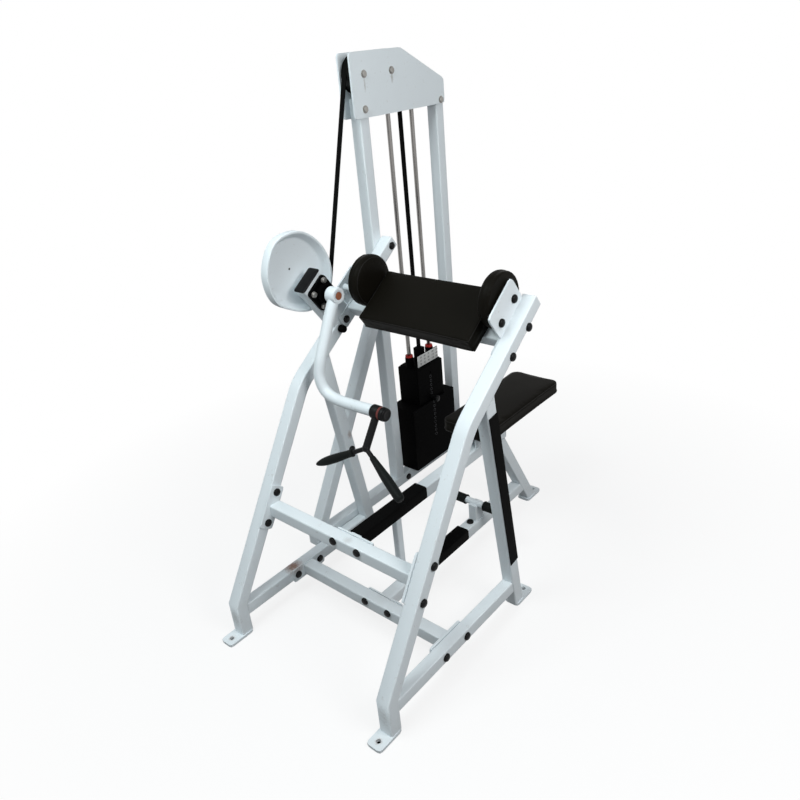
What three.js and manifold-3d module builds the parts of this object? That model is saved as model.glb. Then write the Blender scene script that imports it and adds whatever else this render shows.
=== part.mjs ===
// A selectorised biceps curl machine: two bent side frames, a centre beam with its seat, an arm pad,
// a cam and lever on one shaft, a belt over two pulleys, and a weight stack in a tower.
// Lengths are in millimetres and angles in degrees. +X points away from the weight stack, +Y runs
// from the handle end to the seat end and +Z is up. While the pieces are laid out, zero lies on the floor,
// midway between the side frames and at the front foot holes.
import * as THREE from 'three';
import { mergeVertices } from 'three/addons/utils/BufferGeometryUtils.js';
import Module from 'manifold-3d';

const wasm = await Module();
wasm.setup();

// Stock
const tubeSize = 44.45;
const tubeWall = 2.8;
const tubeRadius = 5;
const plateThickness = 6.35;
const seam = 0.3;
const weld = 1;
const overrun = 6;
const ventRadius = 4;
const capRadius = 12.5;
const capHeight = 8;
const lowCapHeight = 5.5;
const nutRadius = 9;

// Side frames
const frameWidth = 720.6;
const legWidth = 47.6;
const legDepth = 44.45;
const legSetback = 31;
const lowerBendHeight = 130;
const shinAngle = 32.53;
const bendRadius = 170;
const leftBendHeight = 790;
const rightBendRise = 21;
const leftTopAngle = 35.2;
const rightTopTurn = 1.7;
const legPastTower = 25.3;
const legPastBracket = 11;
const footThickness = 9.5;
const footLength = 99;
const footWidth = 54;
const footCornerRadius = 12;
const footHoleRadius = 7.5;
const footHoleInset = 25;
const rearFootOverhang = 20;
const rearHoleInset = 18;
const rearLegFoot = 708;
const rearLegAngle = 9.05;
const railWidth = 40;
const railHeight = 44.45;
const railBottom = 69;
const guardThickness = 3;
const guardWidth = 42;
const guardBottom = 203;
const guardTopShare = 0.9446;

// Crossbars and their bolted flanges
const flangeLength = 150;
const flangeWidth = 53;
const flangeCornerRadius = 10;
const flangeBoltSpacing = 106.7;
const upperBarForward = 9;
const upperBarTop = 427;
const upperFlangeShift = 2.59;
const upperFlangeDrop = 10;
const lowerBarMiddle = 352;
const armBarAlong = 330.29;
const armBarSink = 17.61;

// Centre beams and seat
const beamX = 42;
const beamFlangeLength = 150;
const beamBoltSpacing = 101;
const beamBoltRise = 8;
const seatBeamReach = 236;
const postSize = 26;
const postFront = 457;
const strutReach = 181;
const strutAngle = 29.7;
const centreFootOverhang = 34;
const sleeveThickness = 4.2;
const sleeveRadius = 6;
const sleeveDrop = 40;
const upperSleeveInset = 10.25;
const upperSleeveLength = 314;
const lowerSleeveLength = 180;
const lowerSleevePegGap = 88;
const sleeveBoltPegGap = 40;
const seatRise = 110;
const seatHeight = 48;
const seatWidth = 212;
const seatStart = 858;
const seatLength = 500;
const seatCornerRadius = 38;
const seatEdgeRadius = 12;
const seatCrown = 5;
const seatPlateWidth = 150;
const seatPlateMargin = 40;
const seatWebInset = 47;

// Foot peg
const pegY = 908;
const pegHeight = 180;
const pegRadius = 12.7;
const pegHalfLength = 148;
const pegRiserDepth = 47;
const pegRiserWidth = 32;
const pegGripRadius = 18;
const pegGripLength = 114;

// Arm pad
const padLength = 200;
const padThickness = 57;
const padTurn = 0.7;
const padShift = 15;
const padCornerRadius = 14;
const padEdgeRadius = 11;
const padCrown = 5;
const padPlateLength = 130;
const padPlateInset = 30;

// Round side pads
const sidePadRadius = 86;
const sidePadThickness = 41;
const sidePadGap = 2.5;
const sidePadStandoff = 7.2;
const sidePadEdge = 13;
const sidePadCrown = 5;
const leftSidePadAlong = 382.35;
const leftSidePadRise = 83.95;
const rightSidePadAlong = 379.15;
const rightSidePadRise = 54.21;
const bracketStart = 284;
const bracketEnd = 433;
const bracketRise = { left: 85, right: 94 };
const bracketCornerRadius = 14;
const bracketBoltInset = 32;
const bracketBoltRise = { left: 60, right: 35 };
const bracketGap = 3;
const standoffRadius = 11;

// Cam, shaft and lever
const pivotAlong = 273.25;
const pivotOut = 133.99;
const camRadius = 216;
const camDepth = 32;
const camWeb = 6;
const camRim = 8;
const camStandOff = 66;
const camHubRadius = 30;
const shaftRadius = 12.7;
const camPoints = 60;
const camRadiusShares = [0.5, 0.6, 0.745, 0.925, 1, 0.925, 0.75, 0.56, 0.41, 0.335, 0.335, 0.4];
const supportWidth = 93;
const supportReach = 57;
const bearingSize = 88;
const bearingFlange = 12;
const bearingBossRadius = 31;
const bearingDepth = 30;
const bearingBoltInset = 14;
const bearingBoltRadius = 8;
const hubRadius = 21;
const hubGap = 1.5;
const hubInset = 105.5;
const leverInset = 86.5;
const leverRadius = 19;
const leverWall = 3;
const leverDrop = 308;
const leverForward = 113;
const leverEnd = 35;
const leverBend = 62;
const leverKneeShares = [[0.39, 0.14], [0.68, 0.38], [0.93, 0.6]];
const bumperRadius = 14;
const bumperLength = 26;
const bumperAlong = 240;

// Swivel handle
const collarRadius = 22;
const collarLength = 78;
const spindleRadius = 11;
const retainerRadius = 20;
const retainerThickness = 8;
const handleAngle = 34.5;
const stemX = -5;
const stemLength = 117;
const stemRadius = 11;
const armRadius = 7;
const armReach = 178;
const armFall = 105;
const gripStart = 55;
const handleGripRadius = 15.5;
const leftTipRadius = 4;
const leftTipLength = 36;
const rightTipRadius = 11;
const rightTipLength = 9;
const gripEndWall = 12;

// Tower
const towerFrontY = 939;
const towerSpan = 408;
const towerRailBottom = 94;
const towerRailFront = 448;
const braceAngle = 30.54;
const braceInset = 28;
const braceBoltHeight = 440;
const towerRearFootOverhang = 55;
const headOverhang = 61;
const headDepth = 133;
const headShoulderDrop = 49;
const headPeakForward = 5.75;
const headCover = 5.5;
const headCornerRadius = 12;
const uprightBelowPulley = 10;
const pulleyRadius = 57;
const pulleyFlange = 4.5;
const pulleyFlangeThickness = 3;
const pulleyWidth = 30;
const pulleyHeight = 1683;
const pulleyGap = 13.95;
const axleRadius = 6.35;
const beltWidth = 20;
const beltThickness = 3;
const beltWrapAngle = 38;
const headBoltRise = 27;
const rearBoltRise = 13;
const rearUprightDrop = 14;

// Stack
const stackShift = 0.75;
const rodSpacing = 127.5;
const rodRadius = 8;
const rodHoleClearance = 0.9;
const plateHalfWidth = 51.5;
const plateEnd = 18.25;
const widePlateHalfWidth = 60.5;
const widePlateReach = 56;
const platePitch = 19.05;
const widePlateCount = 9;
const narrowPlateCount = 6;
const pedestalTop = 250.4;
const pedestalWall = 5;
const stackHeadHeight = 50;
const stackHeadBevel = 9;
const bushRadius = 17;
const bushHeight = 40;
const cushionRingRadius = 15;
const cushionRingHeight = 9;
const labelLength = 132;
const labelHeight = 50;
const labelThickness = 3;
const clampSize = 32;
const clampHeight = 60;
const stemClearance = 1;
const selectorRadius = 9.5;
const pinRadius = 4;
const pinClearance = 0.6;
const pinKnobRadius = 13;
const pinKnobLength = 34;
const rodHolderHeight = 12;
const rodHolderGap = 6;
const rodTopRise = 5;

// Mesh quality
const cornerSteps = 2;
const bendSteps = 4;
const roundSides = 16;
const holeSides = 12;
const smallSides = 8;
const turnSides = 28;
const cushionSides = 40;
const leverSteps = 26;
const leverSides = 12;
const mergeDistance = 0.0001;

// Values worked out from the sizes above
const legX = (frameWidth - legWidth) / 2;
const legInnerX = frameWidth / 2 - legWidth;
const towerX = -(frameWidth / 2 + seam + tubeSize / 2);
const rightBendHeight = leftBendHeight + rightBendRise;
const rightTopAngle = leftTopAngle + rightTopTurn;
const rearFootStart = rearLegFoot - rearFootOverhang;
const sidePadOffset = legInnerX - beamX - sidePadStandoff - sidePadThickness;
const padWidth = 2 * (sidePadOffset - sidePadGap);
const padPlateWidth = padWidth - 2 * padPlateInset;
const padAngle = leftTopAngle - padTurn;
const camBack = legX + camStandOff;
const hubOuter = legX - hubInset;
const leverX = legX - leverInset;
const seatTop = upperBarTop + seatRise;
const seatEnd = seatStart + seatLength;
const seatWebStart = seatStart + seatWebInset;
const upperBeamEnd = seatStart + seatBeamReach;
const strutFootY = upperBeamEnd + strutReach;
const centreFootStart = strutFootY - centreFootOverhang;
const lowerSleeveEnd = pegY - lowerSleevePegGap;
const lowerSleeveStart = lowerSleeveEnd - lowerSleeveLength;
const sleeveBoltY = pegY - sleeveBoltPegGap;
const braceFoot = towerRailFront + braceInset;
const towerRearY = towerFrontY + towerSpan;
const towerRearFootStart = towerRearY - towerRearFootOverhang;
const stackY = towerFrontY + towerSpan / 2 + stackShift;
const plateHalfLength = rodSpacing / 2 + plateEnd;
const widePlateHalfLength = plateHalfLength + widePlateReach;
const railTop = railBottom + railHeight;
const railMiddle = railBottom + railHeight / 2;
const upperBarMiddle = upperBarTop - tubeSize / 2;
const beamBottom = upperBarTop - tubeSize;
const lowerBeamTop = railBottom + tubeSize;
const pulleyOuter = pulleyRadius + pulleyFlange;
const rearPulleyOffset = pulleyRadius + seam + beltThickness / 2;
const rearPulleyY = stackY - rearPulleyOffset;
const frontPulleyY = rearPulleyY - 2 * pulleyOuter - pulleyGap;
const headFront = frontPulleyY - headOverhang;
const headPeak = stackY - headPeakForward;
const headTop = pulleyHeight + pulleyOuter + headCover;
const headBottom = pulleyHeight - headDepth;
const headShoulder = pulleyHeight - headShoulderDrop;
const towerRailTop = towerRailBottom + tubeSize;
const stackBottom = pedestalTop + seam;
const stackHeadBottom = stackBottom + (widePlateCount + narrowPlateCount) * platePitch;

const radians = (angle) => THREE.MathUtils.degToRad(angle);
const inPlane = (y, z) => new THREE.Vector2(y, z);
const xAxis = new THREE.Vector3(1, 0, 0);
const yAxis = new THREE.Vector3(0, 1, 0);
const zAxis = new THREE.Vector3(0, 0, 1);

// Finishes
function finish(color, roughness, metalness) {
  return new THREE.MeshStandardMaterial({ color, roughness, metalness });
}
const whitePaint = () => finish(0xe4e9ec, 0.45, 0.05);
const blackRubber = () => finish(0x17181a, 0.75, 0);
const blackVinyl = () => finish(0x1b1714, 0.5, 0);
const blackCasting = () => finish(0x141414, 0.55, 0.3);
const blackEnamel = () => finish(0x18191a, 0.4, 0.2);
const chromeSteel = () => finish(0xc9ccd0, 0.15, 1);

// Six times the volume inside a set of triangles, negative when they face in
function signedVolume(places, corners) {
  const corner = (index) => new THREE.Vector3().fromArray(places, 3 * index);
  let total = 0;
  for (let i = 0; i < corners.length; i += 3) {
    const [a, b, c] = [corner(corners[i]), corner(corners[i + 1]), corner(corners[i + 2])];
    total += a.dot(b.cross(c));
  }
  return total;
}

// A closed geometry as a solid that can be cut and joined
function solidOf(geometry) {
  const plain = geometry.clone();
  plain.deleteAttribute('normal');
  plain.deleteAttribute('uv');
  const merged = mergeVertices(plain, mergeDistance);
  const corners = merged.index.array;
  const kept = [];
  for (let i = 0; i < corners.length; i += 3) {
    const [a, b, c] = corners.slice(i, i + 3);
    if (a !== b && b !== c && c !== a) kept.push(a, b, c);
  }
  const places = merged.attributes.position.array;
  const vertProperties = new Float32Array(places);
  const triVerts = new Uint32Array(kept);
  if (signedVolume(places, triVerts) < 0) triVerts.reverse();
  return new wasm.Manifold(new wasm.Mesh({ numProp: 3, vertProperties, triVerts }));
}

// A solid as a geometry for a mesh
function geometryOf(solid) {
  const mesh = solid.getMesh();
  const geometry = new THREE.BufferGeometry();
  const points = new Float32Array(mesh.vertProperties);
  geometry.setAttribute('position', new THREE.BufferAttribute(points, mesh.numProp));
  geometry.setIndex(new THREE.BufferAttribute(new Uint32Array(mesh.triVerts), 1));
  const flat = geometry.toNonIndexed();
  flat.computeVertexNormals();
  return flat;
}

const join = (...solids) => solids.reduce((whole, solid) => whole.add(solid));
const cut = (solid, ...tools) => tools.reduce((left, tool) => left.subtract(tool), solid);

// A solid box between two corners
function box(low, high) {
  const size = high.map((value, k) => value - low[k]);
  const middle = high.map((value, k) => (value + low[k]) / 2);
  return solidOf(new THREE.BoxGeometry(...size).translate(...middle));
}

// A solid cylinder from a point along a direction
function rod(from, direction, length, radius, sides = roundSides) {
  const geometry = new THREE.CylinderGeometry(radius, radius, length, sides);
  geometry.translate(0, length / 2, 0);
  const turn = new THREE.Quaternion().setFromUnitVectors(yAxis, direction.clone().normalize());
  geometry.applyQuaternion(turn);
  geometry.translate(...from);
  return solidOf(geometry);
}

// A profile of radius and height pairs turned about a direction through a point
function turned(profile, from, direction, sides = turnSides) {
  const points = profile.map(([radius, height]) => new THREE.Vector2(radius, height));
  const geometry = new THREE.LatheGeometry(points, sides);
  const turn = new THREE.Quaternion().setFromUnitVectors(yAxis, direction.clone().normalize());
  geometry.applyQuaternion(turn);
  geometry.translate(...from);
  return geometry;
}

// A domed bolt cap that stands on a face
function boltCap(at, direction, height = capHeight, radius = capRadius) {
  const side = [[radius, -weld], [radius, height * 0.45], [radius * 0.62, height]];
  const profile = [[0, -weld], ...side, [0, height]];
  return solidOf(turned(profile, at, direction, smallSides));
}

// A flat outline pushed along its normal: along and across span the outline's plane
function slab(shape, thickness, at, along, across) {
  const geometry = new THREE.ExtrudeGeometry(shape, {
    depth: thickness, bevelEnabled: false, curveSegments: cornerSteps,
  });
  const normal = new THREE.Vector3().crossVectors(along, across);
  geometry.applyMatrix4(new THREE.Matrix4().makeBasis(along, across, normal));
  geometry.translate(...at);
  return solidOf(geometry);
}

// A polygon with rounded corners as a shape
function roundedShape(corners, radius) {
  const shape = new THREE.Shape();
  corners.forEach((corner, k) => {
    const before = corners[(k + corners.length - 1) % corners.length];
    const after = corners[(k + 1) % corners.length];
    const reach = Math.min(radius, corner.distanceTo(before) / 2, corner.distanceTo(after) / 2);
    const start = corner.clone().add(before.clone().sub(corner).setLength(reach));
    const end = corner.clone().add(after.clone().sub(corner).setLength(reach));
    if (k === 0) shape.moveTo(start.x, start.y);
    else shape.lineTo(start.x, start.y);
    shape.quadraticCurveTo(corner.x, corner.y, end.x, end.y);
  });
  shape.closePath();
  return shape;
}

// A rounded rectangle about its middle
function rectangle(length, width, radius) {
  const corners = [[-1, -1], [1, -1], [1, 1], [-1, 1]];
  return roundedShape(corners.map(([u, v]) => inPlane(u * length / 2, v * width / 2)), radius);
}

// Rings of equal point counts joined into one closed geometry
function ringBody(rings) {
  const count = rings[0].length;
  const points = rings.flat().map((point) => point.clone());
  const faces = [];
  for (let ring = 0; ring < rings.length - 1; ring += 1) {
    for (let k = 0; k < count; k += 1) {
      const a = ring * count + k;
      const b = ring * count + (k + 1) % count;
      faces.push([a, b, b + count], [a, b + count, a + count]);
    }
  }
  const last = (rings.length - 1) * count;
  [rings[0], rings[rings.length - 1]].forEach((ring, end) => {
    const middle = ring.reduce((sum, point) => sum.add(point), new THREE.Vector3()).divideScalar(count);
    points.push(middle);
    for (let k = 0; k < count; k += 1) {
      const next = (k + 1) % count;
      if (end === 0) faces.push([points.length - 1, next, k]);
      else faces.push([points.length - 1, last + k, last + next]);
    }
  });
  const geometry = new THREE.BufferGeometry();
  geometry.setFromPoints(points);
  geometry.setIndex(faces.flat());
  return geometry;
}

// A section of width and depth pairs carried along a flat path, mitred at each bend
function sweep(section, path, up) {
  const rings = path.map((point, k) => {
    const before = path[Math.max(k - 1, 0)];
    const after = path[Math.min(k + 1, path.length - 1)];
    const arriving = (k === 0 ? after.clone().sub(point) : point.clone().sub(before)).normalize();
    const leaving = (k === path.length - 1 ? arriving.clone() : after.clone().sub(point)).normalize();
    const through = arriving.clone().add(leaving).normalize();
    const side = new THREE.Vector3().crossVectors(up, through);
    const stretch = 1 / through.dot(arriving);
    return section.map(([u, v]) => {
      return point.clone().addScaledVector(up, u).addScaledVector(side, v * stretch);
    });
  });
  return solidOf(ringBody(rings));
}

// Points of a rounded rectangular section
function tubeSection(width, depth, radius = tubeRadius) {
  if (radius === 0) {
    return [[-1, -1], [1, -1], [1, 1], [-1, 1]].map(([u, v]) => [u * width / 2, v * depth / 2]);
  }
  const points = [];
  [[1, 1, 0], [-1, 1, 90], [-1, -1, 180], [1, -1, 270]].forEach(([u, v, start]) => {
    for (let step = 0; step <= cornerSteps; step += 1) {
      const turn = radians(start + 90 * step / cornerSteps);
      points.push([
        u * (width / 2 - radius) + radius * Math.cos(turn),
        v * (depth / 2 - radius) + radius * Math.sin(turn),
      ]);
    }
  });
  return points;
}

// A path with one end moved along its own direction: positive lengthens it
function stretched(path, atStart, atEnd) {
  const longer = path.map((point) => point.clone());
  const last = longer.length - 1;
  const startWay = path[0].clone().sub(path[1]).normalize();
  const endWay = path[last].clone().sub(path[last - 1]).normalize();
  longer[0].addScaledVector(startWay, atStart);
  longer[last].addScaledVector(endWay, atEnd);
  return longer;
}

// A square tube along a path: an open end lets the bore run out, a closed one keeps a wall
function tube(path, up, size = {}) {
  const { width = tubeSize, depth = tubeSize, start = 'open', end = 'open', extras = [] } = size;
  const outer = join(sweep(tubeSection(width, depth), path, up), ...extras);
  const inset = (state) => (state === 'open' ? overrun : -tubeWall);
  const boreSection = tubeSection(width - 2 * tubeWall, depth - 2 * tubeWall, 0);
  const bore = sweep(boreSection, stretched(path, inset(start), inset(end)), up);
  return cut(outer, bore);
}

// The space that a tube and the seam around it take, for cutting what butts against it
function envelope(path, up, width = tubeSize, depth = tubeSize) {
  const grown = stretched(path, seam, seam);
  return sweep(tubeSection(width + 2 * seam, depth + 2 * seam, 0), grown, up);
}

// Points in the YZ plane as places in space
const upright = (points, x = 0) => points.map((point) => new THREE.Vector3(x, point.x, point.y));
const across = (y, z, fromX, toX) => [new THREE.Vector3(fromX, y, z), new THREE.Vector3(toX, y, z)];
const along = (fromY, toY, z) => [new THREE.Vector3(0, fromY, z), new THREE.Vector3(0, toY, z)];
const standing = (y, fromZ, toZ) => [new THREE.Vector3(0, y, fromZ), new THREE.Vector3(0, y, toZ)];

// A line offset to its right by a distance, mitred at each bend
function offsetLine(points, distance) {
  return points.map((point, k) => {
    const before = points[Math.max(k - 1, 0)];
    const after = points[Math.min(k + 1, points.length - 1)];
    const arriving = (k === 0 ? after.clone().sub(point) : point.clone().sub(before)).normalize();
    const leaving = (k === points.length - 1 ? arriving.clone() : after.clone().sub(point)).normalize();
    const through = arriving.clone().add(leaving).normalize();
    const right = inPlane(through.y, -through.x);
    return point.clone().addScaledVector(right, distance / through.dot(arriving));
  });
}

// A line whose corner is drawn as an arc of the given radius
function arcCorner(points, index, radius) {
  const corner = points[index];
  const before = points[index - 1].clone().sub(corner).normalize();
  const after = points[index + 1].clone().sub(corner).normalize();
  const half = Math.acos(THREE.MathUtils.clamp(before.dot(after), -1, 1)) / 2;
  const centreWay = before.clone().add(after).normalize();
  const centre = corner.clone().addScaledVector(centreWay, radius / Math.sin(half));
  const start = corner.clone().addScaledVector(before, radius / Math.tan(half)).sub(centre);
  const end = corner.clone().addScaledVector(after, radius / Math.tan(half)).sub(centre);
  const sweepAngle = Math.atan2(start.cross(end), start.dot(end));
  const arc = [];
  for (let step = 0; step <= bendSteps; step += 1) {
    arc.push(start.clone().rotateAround(inPlane(0, 0), sweepAngle * step / bendSteps).add(centre));
  }
  return [...points.slice(0, index), ...arc, ...points.slice(index + 1)];
}

// The line of a front leg's front face, with the way along and out from its upper length
function legLine(bendHeight, topAngle, topLength) {
  const rise = bendHeight - lowerBendHeight;
  const bend = inPlane(legSetback + rise * Math.tan(radians(shinAngle)), bendHeight);
  const way = inPlane(Math.cos(radians(topAngle)), Math.sin(radians(topAngle)));
  const out = inPlane(-way.y, way.x);
  const foot = inPlane(legSetback, footThickness - weld);
  const lowerBend = inPlane(legSetback, lowerBendHeight);
  const top = bend.clone().addScaledVector(way, topLength);
  const middle = offsetLine([foot, lowerBend, bend, top], legDepth / 2);
  const at = (distance, height) => {
    return bend.clone().addScaledVector(way, distance).addScaledVector(out, height);
  };
  return { way, out, at, bend, length: topLength, path: upright(arcCorner(middle, 2, bendRadius)) };
}

const leftBend = legLine(leftBendHeight, leftTopAngle, 0).bend;
const leftTopLength = (towerFrontY + legPastTower - leftBend.x) / Math.cos(radians(leftTopAngle));
const rightTopLength = bracketEnd + legPastBracket;
const legLines = {
  left: legLine(leftBendHeight, leftTopAngle, leftTopLength),
  right: legLine(rightBendHeight, rightTopAngle, rightTopLength),
};
const sideSign = { left: -1, right: 1 };

// A point on the centre line of a front leg's shin at a height
function shinPoint(height) {
  const back = legDepth / 2 / Math.cos(radians(shinAngle));
  return inPlane(legSetback + back + (height - lowerBendHeight) * Math.tan(radians(shinAngle)), height);
}

// The lever's shaft, the arm pad's bar and the upper crossbar follow the front legs
const { x: pivotY, y: pivotZ } = legLines.left.at(pivotAlong, pivotOut);
const { x: armBarY, y: armBarZ } = legLines.left.at(armBarAlong, -armBarSink);
const upperFlangeZ = upperBarTop - upperFlangeDrop;
const upperFlangeY = shinPoint(upperFlangeZ).x + upperFlangeShift;
const upperBarFront = upperFlangeY - upperBarForward;
const upperBeamFront = upperBarFront + tubeSize + seam;
const upperSleeveStart = upperBeamFront + upperSleeveInset;
const upperSleeveEnd = upperSleeveStart + upperSleeveLength;

// A rear leg leans forward from its foot plate to the underside of the front leg
const rearLean = Math.tan(radians(rearLegAngle));
const rearLegPoint = (height) => inPlane(rearLegFoot - (height - footThickness) * rearLean, height);
function rearLegMeeting({ bend, way }) {
  const slope = way.y / way.x;
  const level = rearLegPoint(0).x - bend.x;
  return (bend.y + level * slope - legDepth / way.x) / (1 + rearLean * slope);
}
const rearLegTop = rearLegMeeting(legLines.right);
const highestMeeting = Math.max(rearLegTop, rearLegMeeting(legLines.left));
const rearLegPath = upright([rearLegPoint(-legDepth), rearLegPoint(highestMeeting + legDepth)]);
const guardTop = rearLegTop * guardTopShare;
const rearLegWay = inPlane(-Math.sin(radians(rearLegAngle)), Math.cos(radians(rearLegAngle)));

// A foot plate on the floor with its bolt hole, and the vent under the tube that it carries
function footPlate(startY, holeY, ventY) {
  const middle = new THREE.Vector3(0, startY + footLength / 2, 0);
  const outline = rectangle(footWidth, footLength, footCornerRadius);
  const plate = slab(outline, footThickness, middle, xAxis, yAxis);
  const depth = footThickness + 2 * overrun;
  const hole = rod(new THREE.Vector3(0, holeY, -overrun), zAxis, depth, footHoleRadius);
  const vent = rod(new THREE.Vector3(0, ventY, -overrun), zAxis, depth, ventRadius, smallSides);
  return { plate: cut(plate, hole), vent };
}

// Everything of a slanted tube that reaches below the top of its foot plate
const floorCut = box(
  [-frameWidth, -frameWidth, -frameWidth],
  [frameWidth, 3 * frameWidth, footThickness - weld],
);

// A rounded plate in the plane of the side frames
function sidePlate(centre, way, length, width, fromX, toX, radius = flangeCornerRadius) {
  const out = new THREE.Vector3(0, -way.y, way.x);
  const onward = new THREE.Vector3(0, way.x, way.y);
  const at = new THREE.Vector3(Math.min(fromX, toX), centre.x, centre.y);
  return slab(rectangle(length, width, radius), Math.abs(toX - fromX), at, onward, out);
}

const group = new THREE.Group();

// Adds one named sub-part at a place in its parent
function addPart(name, shape, material, position = [0, 0, 0], parent = group) {
  const geometry = shape.isBufferGeometry ? shape : geometryOf(shape);
  const mesh = new THREE.Mesh(geometry, material);
  mesh.name = name;
  mesh.position.set(...position);
  parent.add(mesh);
  return mesh;
}

// The two bolts of a flange that lies along a way
function flangeBolts(centre, way) {
  const half = flangeBoltSpacing / 2;
  return [-half, half].map((shift) => centre.clone().addScaledVector(way, shift));
}
const shinWay = inPlane(Math.sin(radians(shinAngle)), Math.cos(radians(shinAngle)));
const levelWay = inPlane(1, 0);
const armWay = inPlane(Math.cos(radians(padAngle)), Math.sin(radians(padAngle)));
const upperFlangeCentre = inPlane(upperFlangeY, upperFlangeZ);
const lowerFlangeCentre = inPlane(lowerBarMiddle, railMiddle);
const armBarCentre = inPlane(armBarY, armBarZ);

// Side pad bracket: a plate on top of a front leg, flush with its inner face, and two standoffs
function padBracket(side) {
  const line = legLines[side];
  const sign = sideSign[side];
  const start = side === 'left' ? pivotAlong + supportWidth / 2 + bracketGap : bracketStart;
  const length = bracketEnd - start;
  const sunk = tubeRadius + weld;
  const innerFace = -sign * legWidth / 2;
  const outerFace = innerFace + sign * plateThickness;
  const height = bracketRise[side] + sunk;
  const centre = line.at(start + length / 2, height / 2 - sunk);
  const plate = sidePlate(centre, line.way, length, height, innerFace, outerFace, bracketCornerRadius);
  const outward = xAxis.clone().multiplyScalar(sign);
  const padBack = Math.abs(beamX + sign * (sidePadOffset + sidePadThickness));
  const reach = legInnerX - padBack - seam;
  const pieces = [plate];
  [bracketBoltInset, length - bracketBoltInset].forEach((shift) => {
    const bolt = line.at(start + shift, bracketBoltRise[side]);
    pieces.push(boltCap(new THREE.Vector3(outerFace, bolt.x, bolt.y), outward));
    const root = new THREE.Vector3(innerFace + sign * weld, bolt.x, bolt.y);
    pieces.push(rod(root, outward.clone().negate(), reach + weld, standoffRadius));
  });
  return pieces;
}

// Front leg: a bent tube on its foot plate, with bolt caps and the side pad's bracket
function frontLeg(side) {
  const line = legLines[side];
  const sign = sideSign[side];
  const outward = xAxis.clone().multiplyScalar(sign);
  const size = { width: legWidth, depth: legDepth, start: 'closed', end: 'closed' };
  const foot = footPlate(-footHoleInset, 0, legSetback + legDepth / 2);
  const pieces = [tube(line.path, xAxis, size), foot.plate, ...padBracket(side)];
  const bolts = [...flangeBolts(upperFlangeCentre, shinWay), ...flangeBolts(armBarCentre, armWay)];
  const height = side === 'left' ? lowCapHeight : capHeight;
  bolts.forEach((bolt) => {
    pieces.push(boltCap(new THREE.Vector3(sign * legWidth / 2, bolt.x, bolt.y), outward, height));
  });
  if (side === 'left') {
    const bolt = line.at(line.length - legDepth / 2, -legDepth / 2);
    const innerFace = new THREE.Vector3(legWidth / 2, bolt.x, bolt.y);
    pieces.push(boltCap(innerFace, xAxis));
  }
  return cut(join(...pieces), foot.vent);
}

const legEnvelopes = {
  left: envelope(legLines.left.path, xAxis, legWidth, legDepth),
  right: envelope(legLines.right.path, xAxis, legWidth, legDepth),
};

// The space at and above the underside of a front leg's upper length
function aboveLeg(side) {
  const line = legLines[side];
  const depth = 4 * legDepth;
  const height = depth / 2 - legDepth - seam;
  const path = upright([line.at(0, height), line.at(line.length, height)]);
  return sweep(tubeSection(legWidth, depth, 0), path, xAxis);
}

// Rear leg: a leaning tube from its foot plate to the underside of the front leg
function rearLeg(side) {
  const raised = cut(tube(rearLegPath, xAxis), floorCut, aboveLeg(side));
  const foot = footPlate(rearFootStart, rearFootStart + footLength - rearHoleInset, rearLegFoot);
  const pieces = [raised, foot.plate];
  if (side === 'left') {
    const bolt = rearLegPoint(braceBoltHeight);
    pieces.push(boltCap(new THREE.Vector3(tubeSize / 2, bolt.x, bolt.y), xAxis));
  }
  return cut(join(...pieces), foot.vent);
}

// Base rail between the front and rear legs, with the caps of the lower crossbar's bolts
function baseRail(side) {
  const sign = sideSign[side];
  const path = along(legSetback + legDepth / 2, rearLegFoot, railMiddle);
  const caps = flangeBolts(lowerFlangeCentre, levelWay).map((bolt) => {
    const at = new THREE.Vector3(sign * railWidth / 2, bolt.x, bolt.y);
    return boltCap(at, xAxis.clone().multiplyScalar(sign));
  });
  const size = { width: railWidth, depth: railHeight };
  const rail = cut(tube(path, xAxis, size), legEnvelopes[side], envelope(rearLegPath, xAxis));
  const behind = box([-frameWidth, rearLegPoint(railMiddle).x, 0], [frameWidth, 2 * rearLegFoot, frameWidth]);
  return join(cut(rail, behind), ...caps);
}

['left', 'right'].forEach((side) => {
  const place = [sideSign[side] * legX, 0, 0];
  addPart(`${side}_front_leg`, frontLeg(side), whitePaint(), place);
  addPart(`${side}_rear_leg`, rearLeg(side), whitePaint(), place);
  addPart(`${side}_base_rail`, baseRail(side), whitePaint(), place);
});

// Rubber strip on the outer face of the right rear leg
const guardPath = upright([rearLegPoint(guardBottom), rearLegPoint(guardTop)]);
const guard = sweep(tubeSection(guardThickness, guardWidth, guardThickness / 4), guardPath, xAxis);
addPart('rear_leg_guard', guard, blackRubber(), [legX + tubeSize / 2 + seam + guardThickness / 2, 0, 0]);

// A square crossbar between two faces, with a bolted flange plate at each end. The right side pad
// leaves room for only one bolt cap on the plate beside it.
function flangedBar(centre, flangeCentre, way, halfSpan, up, dropsUpperRight = false) {
  const inner = halfSpan - plateThickness;
  const path = across(centre.x, centre.y, -inner - weld, inner + weld);
  const pieces = [tube(path, up)];
  [-1, 1].forEach((sign) => {
    const faces = [sign * inner, sign * halfSpan];
    pieces.push(sidePlate(flangeCentre, way, flangeLength, flangeWidth, ...faces));
    const bolts = flangeBolts(flangeCentre, way);
    if (dropsUpperRight && sign > 0) bolts.pop();
    bolts.forEach((bolt) => {
      const at = new THREE.Vector3(sign * inner, bolt.x, bolt.y);
      pieces.push(boltCap(at, xAxis.clone().multiplyScalar(-sign)));
    });
  });
  const ventStart = new THREE.Vector3(inner - overrun, centre.x, centre.y);
  const vent = rod(ventStart, xAxis, plateThickness + 2 * overrun, ventRadius, smallSides);
  return cut(join(...pieces), vent);
}

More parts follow.
